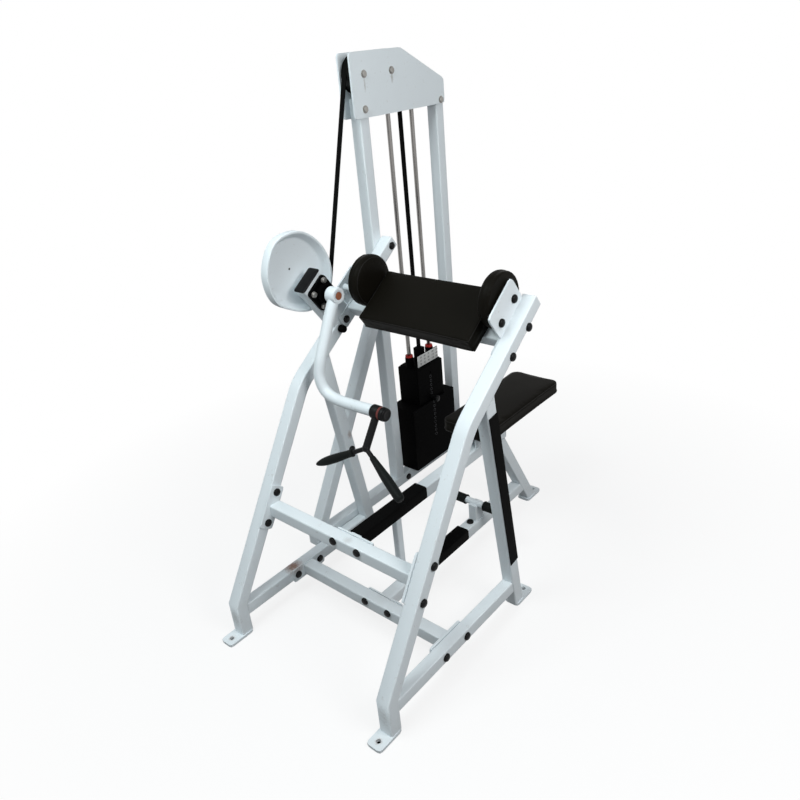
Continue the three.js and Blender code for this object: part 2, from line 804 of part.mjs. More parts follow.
// The caps of the bolts that hold a beam's flange behind a crossbar
function beamCaps(frontY, middleZ) {
  return [-1, 1].map((sign) => {
    const x = beamX + sign * beamBoltSpacing / 2;
    return boltCap(new THREE.Vector3(x, frontY, middleZ + beamBoltRise), yAxis.clone().negate());
  });
}

const upperBarCentre = inPlane(upperBarFront + tubeSize / 2, upperBarMiddle);
const upperBar = flangedBar(upperBarCentre, upperFlangeCentre, shinWay, legInnerX - seam, zAxis);
addPart('upper_crossbar', join(upperBar, ...beamCaps(upperBarFront, upperBarMiddle)), whitePaint());
const railInnerX = legX - railWidth / 2;
const lowerBar = flangedBar(lowerFlangeCentre, lowerFlangeCentre, levelWay, railInnerX - seam, zAxis);
const lowerBarFront = lowerBarMiddle - tubeSize / 2;
addPart('lower_crossbar', join(lowerBar, ...beamCaps(lowerBarFront, railMiddle)), whitePaint());

// The flange plate at the front end of a centre beam
function beamFlange(frontY, middleZ) {
  const at = new THREE.Vector3(0, frontY, middleZ);
  return slab(rectangle(tubeSize, beamFlangeLength, tubeRadius), plateThickness, at, zAxis, xAxis);
}

// Upper beam: flange, tube, and the webs and plate that carry the seat
const seatBottom = seatTop - seatHeight;
function upperBeam() {
  const path = along(upperBeamFront, upperBeamEnd, upperBarMiddle);
  const extras = [beamFlange(upperBeamFront, upperBarMiddle)];
  const body = tube(path, xAxis, { end: 'closed', extras });
  const plateTop = seatBottom - seam;
  const plateBottom = plateTop - plateThickness;
  const plateStart = seatStart + seatPlateMargin;
  const plateEnd = seatEnd - seatPlateMargin;
  const plate = box([-seatPlateWidth / 2, plateStart, plateBottom], [seatPlateWidth / 2, plateEnd, plateTop]);
  const webs = [-1, 1].map((sign) => {
    const faces = [sign * (tubeSize / 2 - tubeRadius), sign * (tubeSize / 2 - tubeRadius - plateThickness)];
    const low = [Math.min(...faces), seatWebStart, upperBarTop - weld];
    return box(low, [Math.max(...faces), upperBeamEnd, plateBottom + weld]);
  });
  return join(body, plate, ...webs);
}
addPart('upper_beam', upperBeam(), whitePaint(), [beamX, 0, 0]);

// Rear strut: a leaning tube from the rear foot plate to the underside of the upper beam
const strutLean = Math.tan(radians(strutAngle));
const strutPoint = (height) => inPlane(strutFootY - (height - footThickness) * strutLean, height);
const strutPath = upright([strutPoint(-tubeSize), strutPoint(upperBarTop)]);
function rearStrut() {
  const topCut = box([-frameWidth, 0, beamBottom - seam], [frameWidth, 2 * strutFootY, 2 * frameWidth]);
  const foot = footPlate(centreFootStart, centreFootStart + footLength - rearHoleInset, strutFootY);
  return cut(join(cut(tube(strutPath, xAxis), floorCut, topCut), foot.plate), foot.vent);
}
addPart('rear_strut', rearStrut(), whitePaint(), [beamX, 0, 0]);

// Lower beam: flange, tube and the post that stands on it under the upper beam
function lowerBeam() {
  const front = lowerBarMiddle + tubeSize / 2 + seam;
  const path = along(front, strutPoint(railMiddle).x, railMiddle);
  const beam = tube(path, xAxis, { extras: [beamFlange(front, railMiddle)] });
  const postY = postFront + postSize / 2;
  const postPath = standing(postY, lowerBeamTop - weld, beamBottom - seam);
  const post = tube(postPath, xAxis, { width: postSize, depth: postSize, start: 'closed' });
  const cap = boltCap(new THREE.Vector3(0, sleeveBoltY, lowerBeamTop), zAxis);
  return join(cut(beam, envelope(strutPath, xAxis)), post, cap);
}
addPart('lower_beam', lowerBeam(), whitePaint(), [beamX, 0, 0]);

// A three-sided rubber sleeve over a beam
function sleeve(startY, endY, beamTop) {
  const rise = seam + sleeveThickness;
  const outerWidth = tubeSize + 2 * rise;
  const height = sleeveDrop + rise;
  const middle = beamTop + rise - height / 2;
  const outer = sweep(tubeSection(outerWidth, height, sleeveRadius), along(startY, endY, middle), xAxis);
  const width = tubeSize + 2 * seam;
  const inner = box(
    [-width / 2, startY - overrun, beamTop - sleeveDrop - overrun],
    [width / 2, endY + overrun, beamTop + seam],
  );
  return cut(outer, inner);
}
const upperSleeve = sleeve(upperSleeveStart, upperSleeveEnd, upperBarTop);
addPart('upper_beam_sleeve', upperSleeve, blackRubber(), [beamX, 0, 0]);
const lowerSleeve = sleeve(lowerSleeveStart, lowerSleeveEnd, lowerBeamTop);
addPart('lower_beam_sleeve', lowerSleeve, blackRubber(), [beamX, 0, 0]);

// Foot peg: a riser on the lower beam with a round bar through it, and a grip on each end
function footPeg() {
  const riser = box(
    [-pegRiserWidth / 2, -pegRiserDepth / 2, lowerBeamTop + seam],
    [pegRiserWidth / 2, pegRiserDepth / 2, pegHeight],
  );
  const start = new THREE.Vector3(-pegHalfLength, 0, pegHeight);
  return join(riser, rod(start, xAxis, 2 * pegHalfLength, pegRadius));
}
addPart('foot_peg_bar', footPeg(), whitePaint(), [beamX, pegY, 0]);

// A closed-ended grip as a turned profile, from its mouth to its tip along a bar
function gripProfile({ mouth, barEnd, tip, bore, radius, tipRadius, tipLength }) {
  const lip = radius * 0.86;
  return [
    [0, tip],
    [tipRadius * 0.8, tip],
    [tipRadius, tip - tipLength * 0.2],
    [radius, tip - tipLength],
    [radius, mouth + bore],
    [lip, mouth],
    [bore, mouth],
    [bore, barEnd + seam],
    [0, barEnd + seam],
  ];
}
const pegGrip = gripProfile({
  mouth: pegHalfLength + pegGripRadius / 3 - pegGripLength,
  barEnd: pegHalfLength,
  tip: pegHalfLength + pegGripRadius / 3,
  bore: pegRadius + seam,
  radius: pegGripRadius,
  tipRadius: pegGripRadius * 0.8,
  tipLength: pegGripRadius / 4,
});
const pegPlace = [beamX, pegY, pegHeight];
const origin = new THREE.Vector3();
const leftPegGrip = turned(pegGrip, origin, xAxis.clone().negate(), roundSides);
addPart('foot_peg_grip_left', solidOf(leftPegGrip), blackRubber(), pegPlace);
const rightPegGrip = turned(pegGrip, origin, xAxis, roundSides);
addPart('foot_peg_grip_right', solidOf(rightPegGrip), blackRubber(), pegPlace);

// A cushion on its bottom face: drawn-in sides, rounded top edge and a crowned top
const edgeSteps = 3;
const crownShares = [0.86, 0.62, 0.34];
const drawShare = 0.25;
const bottomShare = 0.35;
function cushion({ width, length, height, cornerRadius, edgeRadius, crown }) {
  const perCorner = cushionSides / 4 - 1;
  const ring = (inset, z, shrink = 1) => {
    const radius = Math.max(cornerRadius - inset, cornerRadius / 4);
    const halfX = width / 2 - inset;
    const halfY = length / 2 - inset;
    const points = [];
    [[1, 1, 0], [-1, 1, 90], [-1, -1, 180], [1, -1, 270]].forEach(([u, v, start]) => {
      for (let step = 0; step <= perCorner; step += 1) {
        const turn = radians(start + 90 * step / perCorner);
        const x = u * (halfX - radius) + radius * Math.cos(turn);
        const y = v * (halfY - radius) + radius * Math.sin(turn);
        points.push(new THREE.Vector3(x * shrink, y * shrink, z));
      }
    });
    return points;
  };
  const shoulder = height - crown;
  const rings = [
    ring(edgeRadius * bottomShare, 0),
    ring(0, edgeRadius * bottomShare),
    ring(edgeRadius * drawShare, shoulder / 2),
  ];
  for (let step = 0; step <= edgeSteps; step += 1) {
    const turn = radians(90 * step / edgeSteps);
    const inset = edgeRadius * (1 - Math.cos(turn));
    rings.push(ring(inset, shoulder - edgeRadius * (1 - Math.sin(turn))));
  }
  crownShares.forEach((share) => {
    rings.push(ring(edgeRadius, shoulder + crown * (1 - share * share), share));
  });
  return ringBody(rings);
}

const seat = cushion({
  width: seatWidth,
  length: seatEnd - seatStart,
  height: seatHeight,
  cornerRadius: seatCornerRadius,
  edgeRadius: seatEdgeRadius,
  crown: seatCrown,
});
addPart('seat_cushion', solidOf(seat), blackVinyl(), [beamX, (seatStart + seatEnd) / 2, seatBottom]);

// Arm pad bar and its cushion, in a group turned to the slope of the pad
const armGroup = new THREE.Group();
armGroup.position.set(0, armBarY, armBarZ);
armGroup.rotation.x = radians(padAngle);
group.add(armGroup);
const flatCentre = inPlane(0, 0);
const armBarBody = flangedBar(flatCentre, flatCentre, levelWay, legInnerX - seam, zAxis, true);
const padPlateStart = padShift - padPlateLength / 2;
const padPlate = box(
  [beamX - padPlateWidth / 2, padPlateStart, tubeSize / 2 - weld],
  [beamX + padPlateWidth / 2, padPlateStart + padPlateLength, tubeSize / 2 + plateThickness],
);
addPart('arm_pad_bar', join(armBarBody, padPlate), whitePaint(), [0, 0, 0], armGroup);
const armPad = cushion({
  width: padWidth,
  length: padLength,
  height: padThickness,
  cornerRadius: padCornerRadius,
  edgeRadius: padEdgeRadius,
  crown: padCrown,
});
const padPlace = [beamX, padShift, tubeSize / 2 + plateThickness + seam];
addPart('arm_pad_cushion', solidOf(armPad), blackVinyl(), padPlace, armGroup);

// A round side pad: a disc with a crowned inner face and a rounded edge
function sidePad() {
  const edge = sidePadEdge;
  const crownStart = sidePadThickness - sidePadCrown;
  return [
    [0, 0],
    [sidePadRadius - edge * drawShare, 0],
    [sidePadRadius, edge * bottomShare],
    [sidePadRadius, crownStart - edge],
    [sidePadRadius - edge * 0.29, crownStart - edge * 0.29],
    [sidePadRadius - edge, crownStart],
    [sidePadRadius * 0.6, sidePadThickness - sidePadCrown * 0.35],
    [sidePadRadius * 0.3, sidePadThickness - sidePadCrown * 0.08],
    [0, sidePadThickness],
  ];
}
const sidePadPlaces = {
  left: legLines.left.at(leftSidePadAlong, leftSidePadRise).toArray(),
  right: legLines.right.at(rightSidePadAlong, rightSidePadRise).toArray(),
};
['left', 'right'].forEach((side) => {
  const sign = sideSign[side];
  const back = beamX + sign * (sidePadOffset + sidePadThickness);
  const inward = xAxis.clone().multiplyScalar(-sign);
  const solid = solidOf(turned(sidePad(), origin, inward));
  addPart(`${side}_side_pad`, solid, blackVinyl(), [back, ...sidePadPlaces[side]]);
});

// Support tube for the shaft, standing out from the left front leg
const leftLine = legLines.left;
const supportPath = upright([
  leftLine.at(pivotAlong, seam),
  leftLine.at(pivotAlong, pivotOut + supportReach),
]);
const shaftHole = (radius) => {
  const from = new THREE.Vector3(-frameWidth, pivotY, pivotZ);
  return rod(from, xAxis, 2 * frameWidth, radius);
};
const supportSize = { width: tubeSize, depth: supportWidth, end: 'closed' };
const support = cut(tube(supportPath, xAxis, supportSize), shaftHole(shaftRadius + weld));
addPart('cam_support_tube', support, whitePaint(), [-legX, 0, 0]);

// Four-bolt flange bearing on the support tube's inner side
const bearingBack = -legX + tubeSize / 2 + seam;
function bearing() {
  const centre = inPlane(pivotY, pivotZ);
  const plate = sidePlate(centre, leftLine.way, bearingSize, bearingSize, 0, bearingFlange);
  const boss = rod(new THREE.Vector3(0, pivotY, pivotZ), xAxis, bearingDepth, bearingBossRadius, turnSides);
  const reach = bearingSize / 2 - bearingBoltInset;
  const bolts = [[-1, -1], [1, -1], [1, 1], [-1, 1]].map(([u, v]) => {
    const at = leftLine.at(pivotAlong + u * reach, pivotOut + v * reach);
    const face = new THREE.Vector3(bearingFlange, at.x, at.y);
    return boltCap(face, xAxis, capHeight, bearingBoltRadius);
  });
  return cut(join(plate, boss, ...bolts), shaftHole(shaftRadius + seam));
}
addPart('bearing_housing', bearing(), blackCasting(), [bearingBack, 0, 0]);

// Rubber bumper on the inner face of the left front leg
const bumperPlace = leftLine.at(bumperAlong, -legDepth / 2);
const bumperProfile = [
  [0, 0],
  [bumperRadius * 0.9, 0],
  [bumperRadius, bumperLength * 0.3],
  [bumperRadius * 0.85, bumperLength * 0.8],
  [bumperRadius * 0.5, bumperLength],
  [0, bumperLength],
];
const bumper = solidOf(turned(bumperProfile, origin, xAxis, roundSides));
addPart('lever_bumper', bumper, blackRubber(), [-legInnerX + seam, bumperPlace.x, bumperPlace.y]);

// The cam's outline about its shaft: a closed curve through radii at equal angles
const camCurve = new THREE.CatmullRomCurve3(camRadiusShares.map((share, k) => {
  const turn = 2 * Math.PI * k / camRadiusShares.length;
  return new THREE.Vector3(camRadius * share * Math.cos(turn), camRadius * share * Math.sin(turn), 0);
}), true);
const camOutline = camCurve.getPoints(camPoints).slice(0, -1).map((p) => inPlane(p.x, p.y));

// The outline moved outwards by a distance, which is inwards when negative
function camOffset(distance) {
  return camOutline.map((point, k) => {
    const before = camOutline[(k + camPoints - 1) % camPoints];
    const after = camOutline[(k + 1) % camPoints];
    const way = after.clone().sub(before).normalize();
    return point.clone().addScaledVector(inPlane(way.y, -way.x), distance);
  });
}

// Cam with its rim open towards the lever, its hub and the shaft through the bearing
const hubOuterX = -hubOuter;
function cam() {
  const at = new THREE.Vector3(-camBack, 0, 0);
  const disc = slab(new THREE.Shape(camOutline), camDepth, at, yAxis, zAxis);
  const dishAt = new THREE.Vector3(-camBack + camWeb, 0, 0);
  const dish = slab(new THREE.Shape(camOffset(-camRim)), camDepth, dishAt, yAxis, zAxis);
  const hubStart = new THREE.Vector3(-camBack + camWeb - weld, 0, 0);
  const hub = rod(hubStart, xAxis, camDepth - camWeb + weld, camHubRadius, turnSides);
  const shaft = rod(hubStart, xAxis, hubOuterX - hubStart.x, shaftRadius);
  return join(cut(disc, dish), hub, shaft);
}
const pivotPlace = [0, pivotY, pivotZ];
addPart('cam', cam(), whitePaint(), pivotPlace);

// Lever: a hub on the shaft, and a round tube that drops forward and turns towards +X
const leverCurve = new THREE.CatmullRomCurve3([
  new THREE.Vector3(-leverX, 0, 0),
  ...leverKneeShares.map(([forward, drop]) => {
    return new THREE.Vector3(-leverX, -leverForward * forward, -leverDrop * drop);
  }),
  new THREE.Vector3(-leverX, -leverForward, -leverDrop + leverBend),
  new THREE.Vector3(
    -leverX + leverBend * (1 - Math.SQRT1_2),
    -leverForward,
    -leverDrop + leverBend * (1 - Math.SQRT1_2),
  ),
  new THREE.Vector3(-leverX + leverBend, -leverForward, -leverDrop),
  new THREE.Vector3(-leverEnd, -leverForward, -leverDrop),
], false, 'centripetal');

// Circles along the lever's curve, from one step to another, with a last one pushed on
function leverRings(radius, fromStep, pushOn) {
  const frames = leverCurve.computeFrenetFrames(leverSteps, false);
  const rings = [];
  for (let step = fromStep; step <= leverSteps; step += 1) {
    const centre = leverCurve.getPointAt(step / leverSteps);
    if (step === leverSteps) centre.addScaledVector(frames.tangents[step], pushOn);
    const circle = [];
    for (let k = 0; k < leverSides; k += 1) {
      const turn = 2 * Math.PI * k / leverSides;
      const spoke = frames.normals[step].clone().multiplyScalar(radius * Math.cos(turn));
      spoke.addScaledVector(frames.binormals[step], radius * Math.sin(turn));
      circle.push(centre.clone().add(spoke));
    }
    rings.push(circle);
  }
  return solidOf(ringBody(rings));
}

const hubInnerX = bearingBack + bearingDepth + hubGap;
const collarStart = -leverEnd + seam;
const retainerStart = collarStart + collarLength + seam;
const boreSkipSteps = 2;
function lever() {
  const hubAt = new THREE.Vector3(hubInnerX, 0, 0);
  const hub = rod(hubAt, xAxis, hubOuterX - hubInnerX, hubRadius, turnSides);
  const arm = cut(leverRings(leverRadius, 0, 0), leverRings(leverRadius - leverWall, boreSkipSteps, overrun));
  const spindleAt = new THREE.Vector3(-leverEnd - 2 * spindleRadius, -leverForward, -leverDrop);
  const spindleLength = retainerStart + weld - spindleAt.x;
  const spindle = rod(spindleAt, xAxis, spindleLength, spindleRadius);
  const plugAt = new THREE.Vector3(-leverEnd - leverWall, -leverForward, -leverDrop);
  const plug = box(
    [plugAt.x, plugAt.y - leverRadius + weld, plugAt.z - leverWall / 2],
    [-leverEnd, plugAt.y + leverRadius - weld, plugAt.z + leverWall / 2],
  );
  const retainerAt = new THREE.Vector3(retainerStart, -leverForward, -leverDrop);
  const retainer = rod(retainerAt, xAxis, retainerThickness, retainerRadius);
  const bore = rod(new THREE.Vector3(-frameWidth, 0, 0), xAxis, 2 * frameWidth, shaftRadius + seam);
  return join(cut(join(hub, arm), bore), spindle, plug, retainer);
}
addPart('lever_arm', lever(), whitePaint(), pivotPlace);

// Swivel handle: a collar on the lever's spindle, a stem and two spread arms with grips
const handleGroup = new THREE.Group();
handleGroup.position.set(stemX, pivotY - leverForward, pivotZ - leverDrop);
handleGroup.rotation.x = radians(-handleAngle);
group.add(handleGroup);
const armFoot = new THREE.Vector3(0, 0, -stemLength);
const armWays = {
  left: new THREE.Vector3(-armReach, 0, -armFall).normalize(),
  right: new THREE.Vector3(armReach, 0, -armFall).normalize(),
};
const armLength = Math.hypot(armReach, armFall);
function swivelHandle() {
  const collarAt = new THREE.Vector3(collarStart - stemX, 0, 0);
  const collar = rod(collarAt, xAxis, collarLength, collarRadius, turnSides);
  const stem = rod(new THREE.Vector3(), zAxis.clone().negate(), stemLength, stemRadius);
  const arms = ['left', 'right'].map((side) => {
    return rod(armFoot, armWays[side], armLength - gripEndWall, armRadius);
  });
  const knuckle = solidOf(new THREE.SphereGeometry(stemRadius, roundSides, smallSides).translate(...armFoot));
  const boreAt = new THREE.Vector3(collarAt.x - overrun, 0, 0);
  const bore = rod(boreAt, xAxis, collarLength + 2 * overrun, spindleRadius + seam);
  return cut(join(collar, stem, ...arms, knuckle), bore);
}
addPart('swivel_handle', swivelHandle(), blackEnamel(), [0, 0, 0], handleGroup);
const gripTips = {
  left: { tipRadius: leftTipRadius, tipLength: leftTipLength },
  right: { tipRadius: rightTipRadius, tipLength: rightTipLength },
};
['left', 'right'].forEach((side) => {
  const profile = gripProfile({
    mouth: gripStart,
    barEnd: armLength - gripEndWall,
    tip: armLength,
    bore: armRadius + seam,
    radius: handleGripRadius,
    ...gripTips[side],
  });
  const grip = turned(profile, origin, armWays[side], roundSides);
  addPart(`handle_grip_${side}`, solidOf(grip), blackRubber(), [...armFoot], handleGroup);
});

// Tower: base rail, two uprights, a brace and the plates that hold the pulleys
const towerRailMiddle = towerRailBottom + tubeSize / 2;
const towerPlace = [towerX, 0, 0];
const rearUprightFront = towerRearY - tubeSize / 2;
function towerRail() {
  const path = along(towerRailFront, rearUprightFront - seam, towerRailMiddle);
  const bolt = new THREE.Vector3(tubeSize / 2, towerFrontY + tubeSize, towerRailMiddle);
  return join(tube(path, xAxis, { start: 'closed' }), boltCap(bolt, xAxis));
}
addPart('tower_base_rail', towerRail(), whitePaint(), towerPlace);

const frontUprightTop = pulleyHeight - pulleyOuter - uprightBelowPulley;
const frontUprightPath = standing(towerFrontY, towerRailTop + seam, frontUprightTop);
addPart('tower_front_upright', tube(frontUprightPath, xAxis, { end: 'closed' }), whitePaint(), towerPlace);

function rearUpright() {
  const path = standing(towerRearY, footThickness - weld, headShoulder - rearUprightDrop);
  const foot = footPlate(towerRearFootStart, towerRearFootStart + rearHoleInset, towerRearY);
  return cut(join(tube(path, xAxis, { start: 'closed', end: 'closed' }), foot.plate), foot.vent);
}
addPart('tower_rear_upright', rearUpright(), whitePaint(), towerPlace);

function towerBrace() {
  const lean = Math.tan(radians(braceAngle));
  const point = (height) => inPlane(braceFoot + (height - towerRailTop) * lean, height);
  const frontFace = towerFrontY - tubeSize / 2;
  const top = towerRailTop + (frontFace - braceFoot) / lean;
  const path = upright([point(towerRailTop - 2 * tubeSize), point(top + 2 * tubeSize)]);
  const railCut = box([-frameWidth, 0, -frameWidth], [frameWidth, towerRearY, towerRailTop + seam]);
  const uprightCut = box([-frameWidth, frontFace - seam, 0], [frameWidth, towerRearY, headTop]);
  return cut(tube(path, xAxis), railCut, uprightCut);
}
addPart('tower_brace', towerBrace(), whitePaint(), towerPlace);

// A head plate in the plane of the tower, with the heads of the bolts that pass through it
const pulleyCentres = [frontPulleyY, rearPulleyY].map((y) => inPlane(y, pulleyHeight));
function headPlate(sign) {
  const rear = towerRearY + tubeSize / 2;
  const corners = [
    inPlane(headFront, headBottom),
    inPlane(rear, headBottom),
    inPlane(rear, headShoulder),
    inPlane(headPeak, headTop),
    inPlane(headFront, headTop),
  ];
  const face = tubeSize / 2 + seam;
  const low = sign > 0 ? face : -face - plateThickness;
  const at = new THREE.Vector3(low, 0, 0);
  const plate = slab(roundedShape(corners, headCornerRadius), plateThickness, at, yAxis, zAxis);
  const bolts = [
    ...pulleyCentres,
    inPlane(towerFrontY, headBottom + headBoltRise),
    inPlane(towerRearY, headBottom + rearBoltRise),
  ];
  const outward = xAxis.clone().multiplyScalar(sign);
  const heads = bolts.map((bolt) => {
    const head = new THREE.Vector3(sign * (face + plateThickness), bolt.x, bolt.y);
    return boltCap(head, outward, lowCapHeight, nutRadius);
  });
  return join(plate, ...heads);
}

// The inner head plate also carries the pulley axles and the block that holds the guide rods
const rodPlaces = [-1, 1].map((sign) => stackY + sign * rodSpacing / 2);
const rodHolderBottom = headBottom + rodHolderGap;
const rodHolderTop = rodHolderBottom + rodHolderHeight;
function innerHeadPlate() {
  const face = tubeSize / 2 + seam;
  const axles = pulleyCentres.map((centre) => {
    const at = new THREE.Vector3(-tubeSize / 2, centre.x, centre.y);
    return rod(at, xAxis, tubeSize / 2 + face + weld, axleRadius);
  });
  const reach = rodSpacing / 2 + 3 * rodRadius;
  const block = box(
    [-tubeSize / 2, stackY - reach, rodHolderBottom],
    [face + weld, stackY + reach, rodHolderTop],
  );
  const holes = rodPlaces.map((y) => {
    const at = new THREE.Vector3(0, y, rodHolderBottom - overrun);
    return rod(at, zAxis, rodHolderHeight + 2 * overrun, rodRadius + seam);
  });
  const slotWidth = beltWidth / 2 + 2 * beltThickness;
  const slot = box(
    [-slotWidth, stackY - 2 * beltThickness, rodHolderBottom - overrun],
    [slotWidth, stackY + 2 * beltThickness, rodHolderTop + overrun],
  );
  return join(headPlate(1), cut(block, ...holes, slot), ...axles);
}
addPart('head_plate_inner', innerHeadPlate(), whitePaint(), towerPlace);
addPart('head_plate_outer', headPlate(-1), whitePaint(), towerPlace);

// Guide rods from the base rail to the holder
const rodBottom = towerRailTop + seam;
const rodLength = rodHolderTop + rodTopRise - rodBottom;
['front', 'rear'].forEach((end, k) => {
  const solid = rod(origin, zAxis, rodLength, rodRadius);
  addPart(`guide_rod_${end}`, solid, chromeSteel(), [towerX, rodPlaces[k], rodBottom]);
});

// Grooved pulleys on the axles
const pulleyProfile = [
  [axleRadius + seam, -pulleyWidth / 2],
  [pulleyOuter, -pulleyWidth / 2],
  [pulleyOuter, -pulleyWidth / 2 + pulleyFlangeThickness],
  [pulleyRadius, -pulleyWidth / 2 + pulleyFlangeThickness],
  [pulleyRadius, pulleyWidth / 2 - pulleyFlangeThickness],
  [pulleyOuter, pulleyWidth / 2 - pulleyFlangeThickness],
  [pulleyOuter, pulleyWidth / 2],
  [axleRadius + seam, pulleyWidth / 2],
  [axleRadius + seam, -pulleyWidth / 2],
];
['front', 'rear'].forEach((end, k) => {
  const solid = solidOf(turned(pulleyProfile, origin, xAxis));
  const centre = pulleyCentres[k];
  addPart(`${end}_pulley`, solid, blackEnamel(), [towerX, centre.x, centre.y]);
});

// The straight run of belt that touches the cam behind and the front pulley in front
const beltOffset = seam + beltThickness / 2;
const camBelt = camOffset(beltOffset).map((point) => point.add(inPlane(pivotY, pivotZ)));
function tangentAt(angle) {
  const normal = inPlane(Math.cos(angle), Math.sin(angle));
  const reach = camBelt.map((point) => point.dot(normal));
  const touch = reach.indexOf(Math.max(...reach));
  const gap = reach[touch] - (pulleyCentres[0].dot(normal) - rearPulleyOffset);
  return { normal, touch, gap };
}
let lowAngle = radians(-60);
let highAngle = radians(30);
for (let step = 0; step < camPoints; step += 1) {
  const middle = (lowAngle + highAngle) / 2;
  if (tangentAt(middle).gap > 0) lowAngle = middle;
  else highAngle = middle;
}
const tangent = tangentAt(lowAngle);

// The belt's middle line: round the cam, up to the front pulley, over both and down
function beltLine() {
  const wrapCount = Math.round(camPoints * beltWrapAngle / 360);
  const points = [];
  for (let k = wrapCount; k >= 0; k -= 1) {
    points.push(camBelt[(tangent.touch - k + camPoints) % camPoints].clone());
  }
  const startTurn = lowAngle + Math.PI;
  const arc = (centre, from, to) => {
    const count = smallSides;
    for (let step = 0; step <= count; step += 1) {
      const turn = from + (to - from) * step / count;
      const spoke = inPlane(Math.cos(turn), Math.sin(turn)).multiplyScalar(rearPulleyOffset);
      points.push(centre.clone().add(spoke));
    }
  };
  arc(pulleyCentres[0], startTurn, Math.PI / 2);
  arc(pulleyCentres[1], Math.PI / 2, 0);
  return points;
}
const beltSection = tubeSection(beltWidth, beltThickness, 0);
const drivePath = upright(beltLine());
addPart('drive_belt', sweep(beltSection, drivePath, xAxis), blackRubber(), towerPlace);

// Stack: plates, head, stem and pin, placed about the middle between the guide rods
const stackPlace = [towerX, stackY, 0];
const rodHole = rodRadius + rodHoleClearance;
const stemHole = selectorRadius + stemClearance;
function rodHoles(fromZ, toZ) {
  return [-1, 1].map((sign) => {
    const at = new THREE.Vector3(0, sign * rodSpacing / 2, fromZ - overrun);
    return rod(at, zAxis, toZ - fromZ + 2 * overrun, rodHole, holeSides);
  });
}

function pedestal() {
  const halfX = widePlateHalfWidth - pedestalWall;
  const halfY = widePlateHalfLength - pedestalWall;
  const bottom = towerRailTop + seam;
  const shell = box([-halfX, -halfY, bottom], [halfX, halfY, pedestalTop]);
  const inside = box(
    [-halfX + pedestalWall, -halfY + pedestalWall, bottom - overrun],
    [halfX - pedestalWall, halfY - pedestalWall, pedestalTop - pedestalWall],
  );
  const ribs = [-1, 1].map((sign) => box(
    [-halfX, sign * halfY / 3 - pedestalWall / 2, bottom],
    [halfX, sign * halfY / 3 + pedestalWall / 2, pedestalTop - weld],
  ));
  return cut(join(cut(shell, inside), ...ribs), ...rodHoles(bottom, pedestalTop));
}
addPart('stack_pedestal', pedestal(), blackCasting(), stackPlace);

// One weight plate with its rod holes, stem hole and pin hole
function weightPlate(halfWidth, halfLength) {
  const thickness = platePitch - seam;
  const outline = rectangle(2 * halfWidth, 2 * halfLength, tubeRadius);
  const block = slab(outline, thickness, origin, xAxis, yAxis);
  const stemAt = new THREE.Vector3(0, 0, -overrun);
  const stem = rod(stemAt, zAxis, thickness + 2 * overrun, stemHole, holeSides);
  const pinAt = new THREE.Vector3(0, 0, thickness / 2);
  const pin = rod(pinAt, xAxis, halfWidth + overrun, pinRadius + pinClearance, smallSides);
  return cut(block, ...rodHoles(0, thickness), stem, pin);
}
const plateCount = widePlateCount + narrowPlateCount;
for (let k = 0; k < plateCount; k += 1) {
  const wide = k < widePlateCount;
  const size = wide ? [widePlateHalfWidth, widePlateHalfLength] : [plateHalfWidth, plateHalfLength];
  const name = wide ? `lower_plate_${widePlateCount - k}` : `upper_plate_${plateCount - k}`;
  const place = [towerX, stackY, stackBottom + k * platePitch];
  addPart(name, weightPlate(...size), blackCasting(), place);
}

// Stack head: top plate, bushes, belt clamp, label plate and the stem through the plates
function stackHead() {
  const top = stackHeadHeight;
  const outline = rectangle(2 * plateHalfWidth, 2 * plateHalfLength, tubeRadius);
  const lower = slab(outline, top - stackHeadBevel, origin, xAxis, yAxis);
  const steps = [[0, top - stackHeadBevel - weld], [0, top - stackHeadBevel], [stackHeadBevel, top]];
  const rings = steps.map(([inset, z]) => {
    const section = tubeSection(2 * (plateHalfWidth - inset), 2 * (plateHalfLength - inset));
    return section.map(([u, v]) => new THREE.Vector3(u, v, z));
  });
  const bevelled = solidOf(ringBody(rings));
  const bushes = [-1, 1].map((sign) => {
    const bushTop = bushHeight + weld;
    const profile = [
      [0, 0],
      [bushRadius, 0],
      [bushRadius, bushTop - weld],
      [cushionRingRadius, bushTop],
      [cushionRingRadius, bushTop + cushionRingHeight],
      [0, bushTop + cushionRingHeight],
    ];
    const at = new THREE.Vector3(0, sign * rodSpacing / 2, top - weld);
    return solidOf(turned(profile, at, zAxis, roundSides));
  });
  const clampTop = top + clampHeight;
  const clamp = box([-clampSize / 2, -clampSize / 2, top - weld], [clampSize / 2, clampSize / 2, clampTop]);
  const labelX = plateHalfWidth - stackHeadBevel;
  const label = box(
    [labelX - labelThickness, -labelLength / 2, top - weld],
    [labelX, labelLength / 2, top + labelHeight],
  );
  const pinAt = new THREE.Vector3(0, 0, (platePitch - seam) / 2);
  const topHole = rod(pinAt, xAxis, plateHalfWidth + overrun, pinRadius + pinClearance, smallSides);
  const whole = join(lower, bevelled, ...bushes, clamp, label);
  const block = cut(whole, topHole, ...rodHoles(0, clampTop));
  return join(block, selectorStem());
}

// The stem hangs from the head through every plate, with a pin hole at each one
function selectorStem() {
  const length = plateCount * platePitch - seam;
  const at = new THREE.Vector3(0, 0, -length);
  const stem = rod(at, zAxis, length + weld, selectorRadius, holeSides);
  const holes = [];
  for (let k = 1; k <= plateCount; k += 1) {
    const height = -k * platePitch + (platePitch - seam) / 2;
    const from = new THREE.Vector3(-selectorRadius - overrun, 0, height);
    const hole = rod(from, xAxis, 2 * (selectorRadius + overrun), pinRadius + pinClearance, smallSides);
    holes.push(hole);
  }
  return cut(stem, ...holes);
}
const headPlace = [towerX, stackY, stackHeadBottom];
addPart('stack_head', stackHead(), blackCasting(), headPlace);

